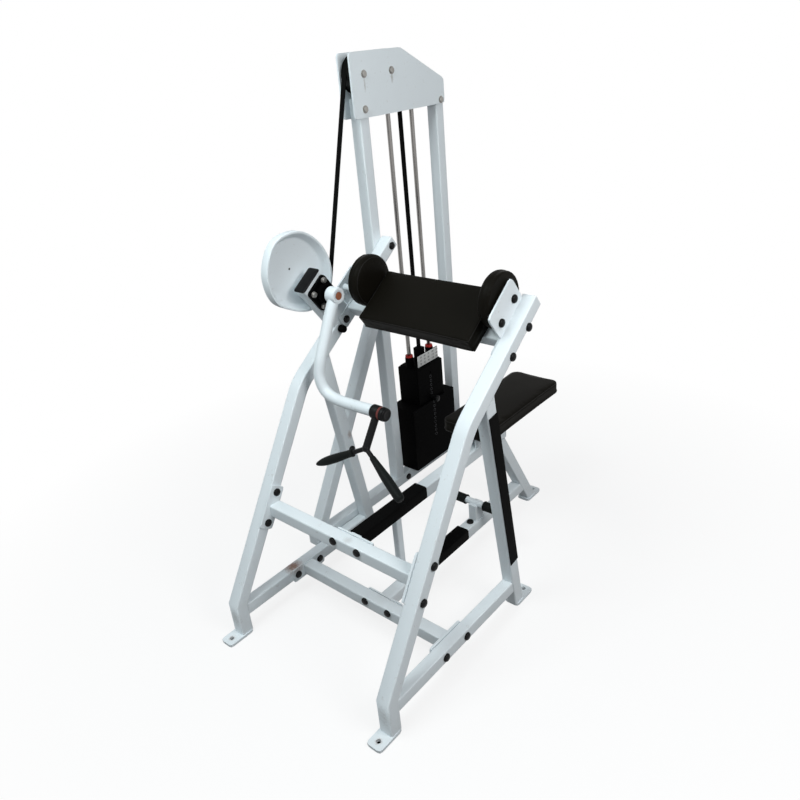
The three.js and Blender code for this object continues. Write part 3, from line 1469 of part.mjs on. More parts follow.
// Selector pin in the lowest of the narrow plates, its knob standing off the plate's face
const pinHeight = stackHeadBottom - narrowPlateCount * platePitch + (platePitch - seam) / 2;
const pinProfile = [
  [0, -selectorRadius / 2],
  [pinRadius, -selectorRadius / 2],
  [pinRadius, plateHalfWidth + seam],
  [pinKnobRadius * 0.7, plateHalfWidth + seam],
  [pinKnobRadius * 0.7, plateHalfWidth + seam + pinKnobLength * 0.4],
  [pinKnobRadius, plateHalfWidth + seam + pinKnobLength * 0.6],
  [pinKnobRadius, plateHalfWidth + seam + pinKnobLength * 0.9],
  [pinKnobRadius * 0.7, plateHalfWidth + seam + pinKnobLength],
  [0, plateHalfWidth + seam + pinKnobLength],
];
const pin = solidOf(turned(pinProfile, origin, xAxis, roundSides));
addPart('selector_pin', pin, blackEnamel(), [towerX, stackY, pinHeight]);

// The belt's last run hangs from the rear pulley to the clamp on the stack head
const liftBottom = stackHeadBottom + stackHeadHeight + clampHeight + seam;
const liftPath = standing(0, liftBottom, pulleyHeight - seam);
addPart('lift_belt', sweep(beltSection, liftPath, xAxis), blackRubber(), stackPlace);

// The finished part stands on the floor with zero under the middle of its bounding box
group.updateMatrixWorld(true);
const bounds = new THREE.Box3().setFromObject(group);
const middle = bounds.getCenter(new THREE.Vector3());
group.position.set(-middle.x, -middle.y, -bounds.min.z);
group.updateMatrixWorld(true);

export default group;
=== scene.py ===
"""Looks, soft goods, light and camera for the biceps machine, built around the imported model.

Sizes of the machine are written in millimetres in its own layout frame, where x is zero midway
between the side frames, y is zero at the front foot holes and z is zero on the floor. The function
spot turns them into metres in the row frame, and every mesh keeps its place in its vertices.
"""
import logging
import math
from dataclasses import dataclass, field, replace
from enum import Enum
from typing import Iterable, Sequence

import bmesh
import bpy
import numpy as np
from mathutils import Matrix, Vector
from mathutils.bvhtree import BVHTree


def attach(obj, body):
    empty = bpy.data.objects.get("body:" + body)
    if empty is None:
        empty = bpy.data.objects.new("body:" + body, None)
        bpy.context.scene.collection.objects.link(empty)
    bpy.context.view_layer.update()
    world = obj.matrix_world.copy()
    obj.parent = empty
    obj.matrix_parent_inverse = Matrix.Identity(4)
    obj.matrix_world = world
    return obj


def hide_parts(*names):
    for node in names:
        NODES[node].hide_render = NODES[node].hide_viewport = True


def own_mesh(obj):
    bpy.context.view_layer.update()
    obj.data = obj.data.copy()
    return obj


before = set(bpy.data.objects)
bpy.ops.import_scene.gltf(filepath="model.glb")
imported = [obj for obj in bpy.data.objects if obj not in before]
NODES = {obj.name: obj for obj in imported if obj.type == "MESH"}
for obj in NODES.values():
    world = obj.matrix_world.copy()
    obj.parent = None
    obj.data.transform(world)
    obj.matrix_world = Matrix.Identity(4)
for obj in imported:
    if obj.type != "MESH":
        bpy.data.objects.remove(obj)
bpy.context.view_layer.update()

LOG = logging.getLogger("biceps_machine")
MM = 0.001
SHIFT = Vector((37.5125, -683.0, 0.0))
ALONG_X = Vector((1.0, 0.0, 0.0))
UP = Vector((0.0, 0.0, 1.0))

Point = Sequence[float]
Pair = tuple[float, float]
Colour = tuple[float, float, float]


def spot(x: float, y: float, z: float) -> Vector:
    """A layout point in millimetres as a row point in metres."""
    return (Vector((x, y, z)) + SHIFT) * MM


class Side(Enum):
    """The two sides of the machine: the tower stands on the left."""

    LEFT = -1
    RIGHT = 1


# ---- shader building ----


class Bench:
    """Adds nodes to one tree, in columns, and links them."""

    def __init__(self, tree: bpy.types.NodeTree) -> None:
        """Keeps the tree that the nodes go into."""
        self.tree = tree

    def node(self, kind: str, column: int = 0, row: int = 0, **settings: object) -> bpy.types.Node:
        """Adds a node.

        Args:
            kind: the node's bl_idname.
            column: place along the tree, for a tidy view.
            row: place down the tree.
            settings: properties of the node to set.

        Returns:
            The new node.
        """
        made = self.tree.nodes.new(kind)
        made.location = (column * 220, -row * 220)
        for key, value in settings.items():
            setattr(made, key, value)
        return made

    def link(self, source: bpy.types.NodeSocket, target: bpy.types.NodeSocket) -> None:
        """Joins an output socket to an input socket."""
        self.tree.links.new(source, target)

    def maths(
        self, operation: str, first: object, second: object = None, column: int = 0, row: int = 0,
    ) -> bpy.types.NodeSocket:
        """Adds a Math node.

        Args:
            operation: the node's operation.
            first: a socket or a number.
            second: a socket or a number, where the operation takes two.
            column: place along the tree.
            row: place down the tree.

        Returns:
            The result socket.
        """
        made = self.node("ShaderNodeMath", column, row, operation=operation)
        for index, value in enumerate((first, second)):
            if value is None:
                continue
            if isinstance(value, (int, float)):
                made.inputs[index].default_value = value
            else:
                self.link(value, made.inputs[index])
        return made.outputs[0]

    def blend(
        self, factor: object, first: object, second: object, column: int = 0, row: int = 0,
    ) -> bpy.types.NodeSocket:
        """Adds a colour Mix node.

        Args:
            factor: a socket or a number.
            first: the colour at 0, a socket or three numbers.
            second: the colour at 1, a socket or three numbers.
            column: place along the tree.
            row: place down the tree.

        Returns:
            The mixed colour's socket.
        """
        made = self.node("ShaderNodeMix", column, row, data_type="RGBA")
        for index, value in ((0, factor), (6, first), (7, second)):
            if isinstance(value, bpy.types.NodeSocket):
                self.link(value, made.inputs[index])
            elif isinstance(value, (int, float)):
                made.inputs[index].default_value = value
            else:
                made.inputs[index].default_value = (*value, 1.0)
        return made.outputs[2]

    def seen(self, column: int) -> bpy.types.NodeSocket:
        """Tells what the camera sees, straight, in a mirror or through glass, from what only lights the object.

        Args:
            column: place along the tree.

        Returns:
            A socket that is 1 for what is seen and otherwise 0.
        """
        path = self.node("ShaderNodeLightPath", column, 0)
        mirrored = self.maths("MAXIMUM", path.outputs["Is Camera Ray"], path.outputs["Is Glossy Ray"], column, 1)
        return self.maths("MAXIMUM", mirrored, path.outputs["Is Transmission Ray"], column + 1, 0)


def new_group(
    name: str, inputs: dict[str, float], outputs: Iterable[str],
) -> tuple[Bench, bpy.types.Node, bpy.types.Node]:
    """Starts a shader node group with float sockets and a vector input called Place.

    Args:
        name: the group's name.
        inputs: names and default values of the float inputs.
        outputs: names of the float outputs.

    Returns:
        The bench, the group input node and the group output node.
    """
    tree = bpy.data.node_groups.new(name, "ShaderNodeTree")
    tree.interface.new_socket("Place", in_out="INPUT", socket_type="NodeSocketVector")
    for label, value in inputs.items():
        socket = tree.interface.new_socket(label, in_out="INPUT", socket_type="NodeSocketFloat")
        socket.default_value = value
    for label in outputs:
        tree.interface.new_socket(label, in_out="OUTPUT", socket_type="NodeSocketFloat")
    bench = Bench(tree)
    return bench, bench.node("NodeGroupInput", -4), bench.node("NodeGroupOutput", 6)


def grime_group() -> bpy.types.NodeTree:
    """Dirt and scuffs.

    Returns:
        A group whose Dirt is patchy and stronger near the floor, and whose Scuff is thin streaks.
    """
    bench, source, target = new_group("grime", {"Scale": 9.0, "Reach": 0.5}, ("Dirt", "Scuff"))
    patches = bench.node("ShaderNodeTexNoise", -2, 0)
    patches.inputs["Detail"].default_value = 5.0
    patches.inputs["Roughness"].default_value = 0.62
    bench.link(source.outputs["Place"], patches.inputs["Vector"])
    bench.link(source.outputs["Scale"], patches.inputs["Scale"])
    split = bench.node("ShaderNodeSeparateXYZ", -2, 1)
    bench.link(source.outputs["Place"], split.inputs[0])
    low = bench.maths("DIVIDE", split.outputs["Z"], source.outputs["Reach"], -1, 1)
    low = bench.maths("SUBTRACT", 1.0, low, 0, 1)
    low = bench.maths("MAXIMUM", low, 0.12, 1, 1)
    patchy = bench.node("ShaderNodeMapRange", 0, 0)
    patchy.inputs["From Min"].default_value = 0.48
    patchy.inputs["From Max"].default_value = 0.78
    bench.link(patches.outputs["Fac"], patchy.inputs["Value"])
    bench.link(bench.maths("MULTIPLY", patchy.outputs["Result"], low, 3, 0), target.inputs["Dirt"])
    lines = bench.node("ShaderNodeTexNoise", -2, 2)
    lines.inputs["Scale"].default_value = 60.0
    lines.inputs["Detail"].default_value = 3.0
    lines.inputs["Distortion"].default_value = 1.4
    bench.link(source.outputs["Place"], lines.inputs["Vector"])
    thin = bench.node("ShaderNodeMapRange", 0, 2)
    thin.inputs["From Min"].default_value = 0.66
    thin.inputs["From Max"].default_value = 0.72
    bench.link(lines.outputs["Fac"], thin.inputs["Value"])
    bench.link(thin.outputs["Result"], target.inputs["Scuff"])
    return bench.tree


def grain_group() -> bpy.types.NodeTree:
    """The pebbled surface of vinyl or moulded rubber.

    Returns:
        A group with the grain's Height and a slow Tone change.
    """
    bench, source, target = new_group("grain", {"Scale": 700.0, "Wander": 6.0}, ("Height", "Tone"))
    cells = bench.node("ShaderNodeTexVoronoi", -2, 0, feature="SMOOTH_F1")
    cells.inputs["Smoothness"].default_value = 0.6
    bench.link(source.outputs["Place"], cells.inputs["Vector"])
    bench.link(source.outputs["Scale"], cells.inputs["Scale"])
    fine = bench.node("ShaderNodeTexNoise", -2, 1)
    fine.inputs["Detail"].default_value = 2.0
    bench.link(source.outputs["Place"], fine.inputs["Vector"])
    bench.link(source.outputs["Scale"], fine.inputs["Scale"])
    half = bench.maths("MULTIPLY", fine.outputs["Fac"], 0.5, 0, 1)
    bench.link(bench.maths("ADD", cells.outputs["Distance"], half, 2, 0), target.inputs["Height"])
    slow = bench.node("ShaderNodeTexNoise", -2, 2)
    slow.inputs["Detail"].default_value = 3.0
    bench.link(source.outputs["Place"], slow.inputs["Vector"])
    bench.link(source.outputs["Wander"], slow.inputs["Scale"])
    bench.link(slow.outputs["Fac"], target.inputs["Tone"])
    return bench.tree


def mark_group() -> bpy.types.NodeTree:
    """A ragged patch around one point, for a stain and for painted shade.

    Returns:
        A group whose Mask is 1 inside a noisy ellipsoid at (X, Y, Z) of radii Width and Drop.
    """
    sizes = {"X": 0.0, "Y": 0.0, "Z": 0.0, "Width": 0.02, "Drop": 0.02, "Level": 0.5}
    bench, source, target = new_group("stain", sizes, ("Mask",))
    centre = bench.node("ShaderNodeCombineXYZ", -3, 1)
    for axis in "XYZ":
        bench.link(source.outputs[axis], centre.inputs[axis])
    offset = bench.node("ShaderNodeVectorMath", -2, 0, operation="SUBTRACT")
    bench.link(source.outputs["Place"], offset.inputs[0])
    bench.link(centre.outputs[0], offset.inputs[1])
    reach = bench.node("ShaderNodeCombineXYZ", -2, 1)
    for axis, label in (("X", "Width"), ("Y", "Width"), ("Z", "Drop")):
        bench.link(source.outputs[label], reach.inputs[axis])
    scaled = bench.node("ShaderNodeVectorMath", -1, 0, operation="DIVIDE")
    bench.link(offset.outputs[0], scaled.inputs[0])
    bench.link(reach.outputs[0], scaled.inputs[1])
    length = bench.node("ShaderNodeVectorMath", 0, 0, operation="LENGTH")
    bench.link(scaled.outputs[0], length.inputs[0])
    ragged = bench.node("ShaderNodeTexNoise", 0, 1)
    ragged.inputs["Scale"].default_value = 140.0
    ragged.inputs["Detail"].default_value = 5.0
    ragged.inputs["Roughness"].default_value = 0.7
    bench.link(source.outputs["Place"], ragged.inputs["Vector"])
    wander = bench.maths("MULTIPLY", ragged.outputs["Fac"], 1.1, 1, 1)
    edge = bench.maths("ADD", length.outputs["Value"], wander, 2, 0)
    fade = bench.node("ShaderNodeMapRange", 3, 0)
    fade.inputs["From Min"].default_value = 1.35
    fade.inputs["From Max"].default_value = 0.75
    bench.link(edge, fade.inputs["Value"])
    mask = bench.maths("MULTIPLY", fade.outputs["Result"], source.outputs["Level"], 4, 0)
    bench.link(mask, target.inputs["Mask"])
    return bench.tree


SHARED = {"grime": grime_group(), "grain": grain_group(), "stain": mark_group()}


@dataclass(frozen=True)
class Stain:
    """A patch of colour on the paint, used for stains and for painted shade: where it is, how wide and tall, how
    strong and of what colour.
    """

    place: tuple[float, float, float]
    width: float = 14.0
    drop: float = 14.0
    level: float = 0.6
    colour: Colour = (0.23, 0.12, 0.06)


@dataclass(frozen=True)
class Finish:
    """A finish as a procedural material: base colour, gloss, grain, dirt, stains and patches of painted shade."""

    name: str
    slot: str
    colour: Colour
    roughness: float
    metallic: float = 0.0
    coat: float = 0.0
    specular: float = 0.5
    grain_scale: float = 500.0
    grain_depth: float = 0.00005
    tone_change: float = 0.15
    dirt: float = 0.2
    dirt_colour: Colour = (0.32, 0.3, 0.27)
    scuff: float = 0.0
    scuff_colour: Colour = (0.2, 0.19, 0.18)
    stains: tuple[Stain, ...] = ()

    def material(self) -> bpy.types.Material:
        """The finish's material, made at its first use.

        Returns:
            The material.
        """
        known = bpy.data.materials.get(f"finish_{self.name}")
        return known if known else self._build()

    @staticmethod
    def _group(
        bench: Bench, key: str, place: bpy.types.NodeSocket, column: int, row: int, **values: float,
    ) -> bpy.types.Node:
        """Places a shared group and sets its inputs.

        Args:
            bench: the material's bench.
            key: the shared group's name.
            place: the socket that gives the surface point.
            column: place along the tree.
            row: place down the tree.
            values: values of the group's inputs.

        Returns:
            The group node.
        """
        made = bench.node("ShaderNodeGroup", column, row, node_tree=SHARED[key])
        bench.link(place, made.inputs["Place"])
        for label, value in values.items():
            made.inputs[label].default_value = value
        return made

    def _build(self) -> bpy.types.Material:
        """Builds the node tree.

        Returns:
            The new material.
        """
        made = bpy.data.materials.new(f"finish_{self.name}")
        made.use_nodes = True
        made.diffuse_color = (*self.colour, 1.0)
        bench = Bench(made.node_tree)
        shader = made.node_tree.nodes["Principled BSDF"]
        place = bench.node("ShaderNodeTexCoord", -9, 0).outputs["Object"]
        grain = self._group(bench, "grain", place, -7, 1, Scale=self.grain_scale)
        grime = self._group(bench, "grime", place, -7, 3)
        darker = tuple(part * (1.0 - self.tone_change) for part in self.colour)
        colour = bench.blend(grain.outputs["Tone"], self.colour, darker, -6, 0)
        dirt = bench.maths("MULTIPLY", grime.outputs["Dirt"], self.dirt, -6, 3)
        colour = bench.blend(dirt, colour, self.dirt_colour, -5, 0)
        if self.scuff:
            scuff = bench.maths("MULTIPLY", grime.outputs["Scuff"], self.scuff, -6, 4)
            colour = bench.blend(scuff, colour, self.scuff_colour, -4, 0)
        # stains and patches of painted shade, each blended over the colour
        for index, stain in enumerate(self.stains):
            centre = spot(*stain.place)
            mask = self._group(
                bench, "stain", place, -5, 5 + index,
                X=centre.x, Y=centre.y, Z=centre.z,
                Width=stain.width * MM, Drop=stain.drop * MM, Level=stain.level,
            )
            colour = bench.blend(mask.outputs["Mask"], colour, stain.colour, -3, 0)
        bench.link(colour, shader.inputs["Base Color"])
        rough = bench.maths("ADD", self.roughness, bench.maths("MULTIPLY", dirt, 0.35, -3, 3), -2, 3)
        rough = bench.maths("ADD", rough, bench.maths("MULTIPLY", grain.outputs["Tone"], 0.08, -3, 4), -1, 3)
        bench.link(rough, shader.inputs["Roughness"])
        shader.inputs["Metallic"].default_value = self.metallic
        shader.inputs["Specular IOR Level"].default_value = self.specular
        shader.inputs["Coat Weight"].default_value = self.coat
        shader.inputs["Coat Roughness"].default_value = 0.12
        bump = bench.node("ShaderNodeBump", -2, 5)
        bump.inputs["Distance"].default_value = self.grain_depth
        bump.inputs["Strength"].default_value = 0.6
        bench.link(grain.outputs["Height"], bump.inputs["Height"])
        bench.link(bump.outputs["Normal"], shader.inputs["Normal"])
        return made


RUST: Colour = (0.2, 0.09, 0.04)
GREY_DIRT: Colour = (0.3, 0.27, 0.24)
# painted shade: the darker front faces of the front feet's lower segments
FOOT_SHADE: Colour = (0.2, 0.185, 0.165)
WORN_BROWN: Colour = (0.24, 0.13, 0.095)
WHITE_PAINT = Finish(
    "white_paint", "white_paint", (0.76, 0.82, 0.85), 0.48, coat=0.04, specular=0.3,
    grain_scale=260.0, grain_depth=0.00008, tone_change=0.06,
    dirt=0.25, dirt_colour=(0.5, 0.48, 0.45), scuff=0.25, scuff_colour=(0.42, 0.4, 0.37),
)
BLACK_RUBBER = Finish(
    "black_rubber", "black_rubber", (0.0024, 0.0024, 0.0024), 0.62, specular=0.025,
    grain_scale=900.0, grain_depth=0.00012, dirt=0.02,
)
DARK_VINYL = Finish(
    "dark_vinyl", "dark_vinyl", (0.0056, 0.0049, 0.0034), 0.42, specular=0.035,
    grain_scale=620.0, grain_depth=0.0001, tone_change=0.35, dirt=0.012, dirt_colour=(0.2, 0.17, 0.14),
)
BLACK_BELT = Finish(
    "black_belt", "black_belt", (0.0024, 0.0024, 0.0024), 0.58, specular=0.03,
    grain_scale=1400.0, grain_depth=0.0002, dirt=0.015,
)
BLACK_CASTING = Finish(
    "black_casting", "black_casting", (0.001, 0.001, 0.0011), 0.62, specular=0.02,
    grain_scale=380.0, grain_depth=0.00025, dirt=0.006,
)
BLACK_ENAMEL = Finish(
    "black_enamel", "black_enamel", (0.004, 0.0042, 0.0045), 0.36, specular=0.12, grain_scale=200.0, dirt=0.02,
)
CAP_PLASTIC = Finish(
    "cap_plastic", "black_enamel", (0.0024, 0.0024, 0.0028), 0.34, specular=0.12, grain_scale=600.0, dirt=0.02,
)
ROD_CHROME = Finish(
    "rod_chrome", "guide_rod_chrome", (0.3, 0.29, 0.28), 0.22, metallic=1.0,
    grain_scale=120.0, tone_change=0.4, dirt=0.3, dirt_colour=(0.12, 0.1, 0.08),
)
ZINC_STEEL = Finish(
    "zinc_steel", "guide_rod_chrome", (0.4, 0.39, 0.37), 0.36, metallic=0.9,
    grain_scale=300.0, tone_change=0.5, dirt=0.5, dirt_colour=(0.12, 0.09, 0.07),
)
RING_RED = Finish(
    "ring_red", "black_rubber", (0.42, 0.02, 0.015), 0.5, specular=0.3, grain_scale=700.0, dirt=0.08,
)
COPPER_END = Finish(
    "shaft_end", "black_casting", (0.36, 0.13, 0.065), 0.5, metallic=0.3, specular=0.3,
    grain_scale=400.0, dirt=0.15,
)
LABEL_WHITE = Finish("label_white", "white_paint", (0.6, 0.61, 0.6), 0.5, grain_scale=500.0, dirt=0.3)
SEAM_VINYL = Finish(
    "seam_vinyl", "dark_vinyl", (0.008, 0.0075, 0.007), 0.45, specular=0.12,
    grain_scale=900.0, grain_depth=0.00012, dirt=0.01,
)
BUSH_RED = Finish(
    "bush_red", "black_rubber", (0.13, 0.022, 0.018), 0.45, specular=0.3, grain_scale=500.0, dirt=0.1,
)
GRIP_RUBBER = Finish(
    "grip_rubber", "black_rubber", (0.005, 0.0066, 0.0062), 0.5, specular=0.08,
    grain_scale=1100.0, grain_depth=0.00012, dirt=0.02,
)
DULL_RING = Finish(
    "dull_ring", "black_casting", (0.035, 0.037, 0.04), 0.45, metallic=0.5, grain_scale=800.0, dirt=0.05,
)
NUMBER_INK = Finish(
    "number_ink", "black_enamel", (0.02, 0.02, 0.02), 0.6, specular=0.2, grain_scale=500.0, dirt=0.1,
)


# ---- mesh building ----

POLE = 0.01  # the radius in millimetres that a lathe's pole is closed at


def put(name: str, data: bpy.types.ID) -> bpy.types.Object:
    """Makes an object at the origin and links it to the scene.

    Args:
        name: the object's name.
        data: its mesh, curve, lamp or camera data.

    Returns:
        The new object.
    """
    made = bpy.data.objects.new(name, data)
    bpy.context.scene.collection.objects.link(made)
    return made


def evaluated_mesh(piece: bpy.types.Object) -> bpy.types.Mesh:
    """A plain mesh of an object as its modifiers leave it.

    Args:
        piece: the object.

    Returns:
        The new mesh.
    """
    graph = bpy.context.evaluated_depsgraph_get()
    graph.update()
    return bpy.data.meshes.new_from_object(piece.evaluated_get(graph), depsgraph=graph)


def mesh_object(
    name: str, points: Sequence[Point], faces: Sequence[Sequence[int]], finish: Finish,
) -> bpy.types.Object:
    """Makes an object at the origin from row points in metres.

    Args:
        name: the piece's name.
        points: its vertices.
        faces: its faces, by vertex index.
        finish: what it is covered in.

    Returns:
        The new object, smooth shaded, with its faces pointing out.
    """
    mesh = bpy.data.meshes.new(name)
    mesh.from_pydata([tuple(point) for point in points], [], [tuple(face) for face in faces])
    made = put(name, mesh)
    clean(made)
    mesh.materials.append(finish.material())
    return made


def clean(piece: bpy.types.Object, sharp: float = 38.0) -> None:
    """Merges doubles, turns the faces outwards and marks the sharp edges.

    Args:
        piece: the object to clean.
        sharp: the angle in degrees above which an edge stays sharp.
    """
    work = bmesh.new()
    work.from_mesh(piece.data)
    bmesh.ops.remove_doubles(work, verts=work.verts, dist=1e-6)
    bmesh.ops.recalc_face_normals(work, faces=work.faces)
    work.to_mesh(piece.data)
    work.free()
    piece.data.shade_smooth()
    piece.data.set_sharp_from_angle(angle=math.radians(sharp))


def circle(
    centre: Vector, way: Vector, radius: float, count: int, start: Vector | None = None,
) -> list[Vector]:
    """Points of a circle.

    Args:
        centre: its centre.
        way: its normal.
        radius: its radius.
        count: how many points.
        start: a direction that the first point lies towards.

    Returns:
        The points, in order.
    """
    way = way.normalized()
    side = (start - way * start.dot(way)).normalized() if start else way.orthogonal().normalized()
    other = way.cross(side)
    turns = [2 * math.pi * k / count for k in range(count)]
    return [centre + (side * math.cos(turn) + other * math.sin(turn)) * radius for turn in turns]


def rounded_rectangle(half_u: float, half_v: float, radius: float, steps: int) -> list[Pair]:
    """Points of a rounded rectangle about zero.

    Args:
        half_u: half its size along the first direction.
        half_v: half its size along the second direction.
        radius: its corner radius.
        steps: steps on each corner.

    Returns:
        The points, in order.
    """
    points = []
    for quarter, (u, v) in enumerate(((1, 1), (-1, 1), (-1, -1), (1, -1))):
        for step in range(steps + 1):
            turn = math.radians(90 * quarter + 90 * step / steps)
            across = u * (half_u - radius) + radius * math.cos(turn)
            points.append((across, v * (half_v - radius) + radius * math.sin(turn)))
    return points


def loft(
    rings: Sequence[Sequence[Vector]], closed_ends: bool = True,
) -> tuple[list[Vector], list[tuple[int, ...]]]:
    """Joins rings of equal counts by quads.

    Args:
        rings: the rings, each a closed loop of points.
        closed_ends: whether the first and last ring are filled.

    Returns:
        The points and the faces.
    """
    count = len(rings[0])
    points = [point for ring in rings for point in ring]
    faces: list[tuple[int, ...]] = []
    for step in range(len(rings) - 1):
        for k in range(count):
            low, high = step * count, (step + 1) * count
            faces.append((low + k, low + (k + 1) % count, high + (k + 1) % count, high + k))
    if closed_ends:
        faces.append(tuple(reversed(range(count))))
        last = (len(rings) - 1) * count
        faces.append(tuple(last + k for k in range(count)))
    return points, faces


def turned(
    name: str, profile: Sequence[Pair], base: Vector, way: Vector, finish: Finish,
    sides: int = 48, bore: bool = False,
) -> bpy.types.Object:
    """A piece turned on a lathe.

    Args:
        name: the piece's name.
        profile: pairs of radius and height in millimetres, from one end to the other.
        base: where height zero lies, in metres.
        way: the direction of the axis.
        finish: what it is covered in.
        sides: steps round the axis.
        bore: whether the profile closes on itself round a hole.

    Returns:
        The new object.
    """
    way = way.normalized()
    rings = [circle(base + way * (height * MM), way, max(radius, POLE) * MM, sides) for radius, height in profile]
    if bore:
        rings.append(rings[0])
    points, faces = loft(rings, closed_ends=not bore)
    return mesh_object(name, points, faces, finish)


def smooth_line(points: Sequence[Vector], steps: int, closed: bool = False) -> list[Vector]:
    """A centripetal Catmull-Rom line through points.

    Args:
        points: the points that it passes through.
        steps: steps between each two of them.
        closed: whether it comes back to the first point.

    Returns:
        The line's points.
    """
    count = len(points)
    line: list[Vector] = []
    spans = count if closed else count - 1

    def pick(index: int) -> Vector:
        """A point by its index.

        Args:
            index: the index, which may lie one past either end.

        Returns:
            The point, wrapped round on a closed line and carried straight on at an open end.
        """
        if closed:
            return points[index % count]
        if index < 0:
            return points[0] * 2 - points[1]
        if index >= count:
            return points[-1] * 2 - points[-2]
        return points[index]

    for span in range(spans):
        p0, p1, p2, p3 = (pick(span + k) for k in (-1, 0, 1, 2))
        d0, d1, d2 = ((b - a).length ** 0.5 or 1.0 for a, b in ((p0, p1), (p1, p2), (p2, p3)))
        t1 = ((p1 - p0) / d0 - (p2 - p0) / (d0 + d1) + (p2 - p1) / d1) * d1
        t2 = ((p2 - p1) / d1 - (p3 - p1) / (d1 + d2) + (p3 - p2) / d2) * d1
        for step in range(steps):
            t = step / steps
            line.append(
                p1 * (2 * t ** 3 - 3 * t ** 2 + 1) + t1 * (t ** 3 - 2 * t ** 2 + t)
                + p2 * (-2 * t ** 3 + 3 * t ** 2) + t2 * (t ** 3 - t ** 2)
            )
    if not closed:
        line.append(points[-1].copy())
    return line


# ---- Geometry Nodes ----


class Tree:
    """One Geometry Nodes tree that starts from a mesh and ends in a real mesh with a material."""

    def __init__(self, name: str) -> None:
        """Starts the tree with its geometry sockets.

        Args:
            name: the tree's name.
        """
        self.tree = bpy.data.node_groups.new(name, "GeometryNodeTree")
        self.tree.interface.new_socket("Geometry", in_out="INPUT", socket_type="NodeSocketGeometry")
        self.tree.interface.new_socket("Geometry", in_out="OUTPUT", socket_type="NodeSocketGeometry")
        self.source = self.node("NodeGroupInput")
        self.target = self.node("NodeGroupOutput")
        self.identifiers: dict[str, str] = {}

    def node(self, kind: str, **settings: object) -> bpy.types.Node:
        """Adds a node.

        Args:
            kind: the node's bl_idname.
            settings: properties of the node to set.

        Returns:
            The new node.
        """
        made = self.tree.nodes.new(kind)
        for key, value in settings.items():
            setattr(made, key, value)
        return made

    def link(self, source: bpy.types.NodeSocket, target: bpy.types.NodeSocket) -> None:
        """Joins two sockets."""
        self.tree.links.new(source, target)

    def entry(self, label: str, kind: str) -> bpy.types.NodeSocket:
        """Adds a named input.

        Args:
            label: the input's name.
            kind: its socket type.

        Returns:
            The socket on the group input node.
        """
        socket = self.tree.interface.new_socket(label, in_out="INPUT", socket_type=kind)
        self.identifiers[label] = socket.identifier
        return self.source.outputs[label]

    def close(self, geometry: bpy.types.NodeSocket) -> None:
        """Ends the tree in Realize Instances and Set Material.

        Args:
            geometry: the socket of the finished geometry.
        """
        real = self.node("GeometryNodeRealizeInstances")
        self.link(geometry, real.inputs["Geometry"])
        covered = self.node("GeometryNodeSetMaterial")
        self.link(real.outputs["Geometry"], covered.inputs["Geometry"])
        self.link(self.entry("Finish", "NodeSocketMaterial"), covered.inputs["Material"])
        self.link(covered.outputs["Geometry"], self.target.inputs["Geometry"])

    def run(
        self, name: str, base: bpy.types.Mesh, finish: Finish, sharp: float = 38.0, **values: object,
    ) -> bpy.types.Object:
        """Runs the tree on a mesh and turns the result into a plain object.

        Args:
            name: the new piece's name.
            base: the mesh that the tree starts from.
            finish: what the piece is covered in.
            sharp: the angle above which its edges stay sharp.
            values: values of the named inputs.

        Returns:
            The new object, with no modifier.
        """
        carrier = put(name + "_carrier", base)
        modifier = carrier.modifiers.new("shape", "NODES")
        modifier.node_group = self.tree
        for label, value in {**values, "Finish": finish.material()}.items():
            modifier[self.identifiers[label]] = value
        mesh = evaluated_mesh(carrier)
        bpy.data.objects.remove(carrier)
        mesh.name = name
        made = put(name, mesh)
        clean(made, sharp)
        return made


def repeat_tree() -> Tree:
    """Puts a copy of one object at each point, turned so that its Z lies along the point's way.

    Returns:
        The tree, with the inputs Copy, Size and Finish.
    """
    made = Tree("repeat_on_points")
    copy = made.node("GeometryNodeObjectInfo", transform_space="ORIGINAL")
    made.link(made.entry("Copy", "NodeSocketObject"), copy.inputs["Object"])
    way = made.node("GeometryNodeInputNamedAttribute", data_type="FLOAT_VECTOR")
    way.inputs["Name"].default_value = "way"
    turn = made.node("FunctionNodeAlignRotationToVector", axis="Z")
    made.link(way.outputs["Attribute"], turn.inputs["Vector"])
    place = made.node("GeometryNodeInstanceOnPoints")
    made.link(made.source.outputs["Geometry"], place.inputs["Points"])
    made.link(copy.outputs["Geometry"], place.inputs["Instance"])
    made.link(turn.outputs["Rotation"], place.inputs["Rotation"])
    made.link(made.entry("Size", "NodeSocketVector"), place.inputs["Scale"])
    made.close(place.outputs["Instances"])
    return made


def tube_tree() -> Tree:
    """Carries a circle along the base mesh's line.

    Returns:
        The tree, with the inputs Radius and Finish.
    """
    made = Tree("tube_sweep")
    line = made.node("GeometryNodeMeshToCurve")
    made.link(made.source.outputs["Geometry"], line.inputs["Mesh"])
    normal = made.node("GeometryNodeSetCurveNormal", mode="MINIMUM_TWIST")
    made.link(line.outputs["Curve"], normal.inputs["Curve"])
    section = made.node("GeometryNodeCurvePrimitiveCircle")
    section.inputs["Resolution"].default_value = 32
    made.link(made.entry("Radius", "NodeSocketFloat"), section.inputs["Radius"])
    body = made.node("GeometryNodeCurveToMesh")
    body.inputs["Fill Caps"].default_value = True
    made.link(normal.outputs["Curve"], body.inputs["Curve"])
    made.link(section.outputs["Curve"], body.inputs["Profile Curve"])
    made.close(body.outputs["Mesh"])
    return made


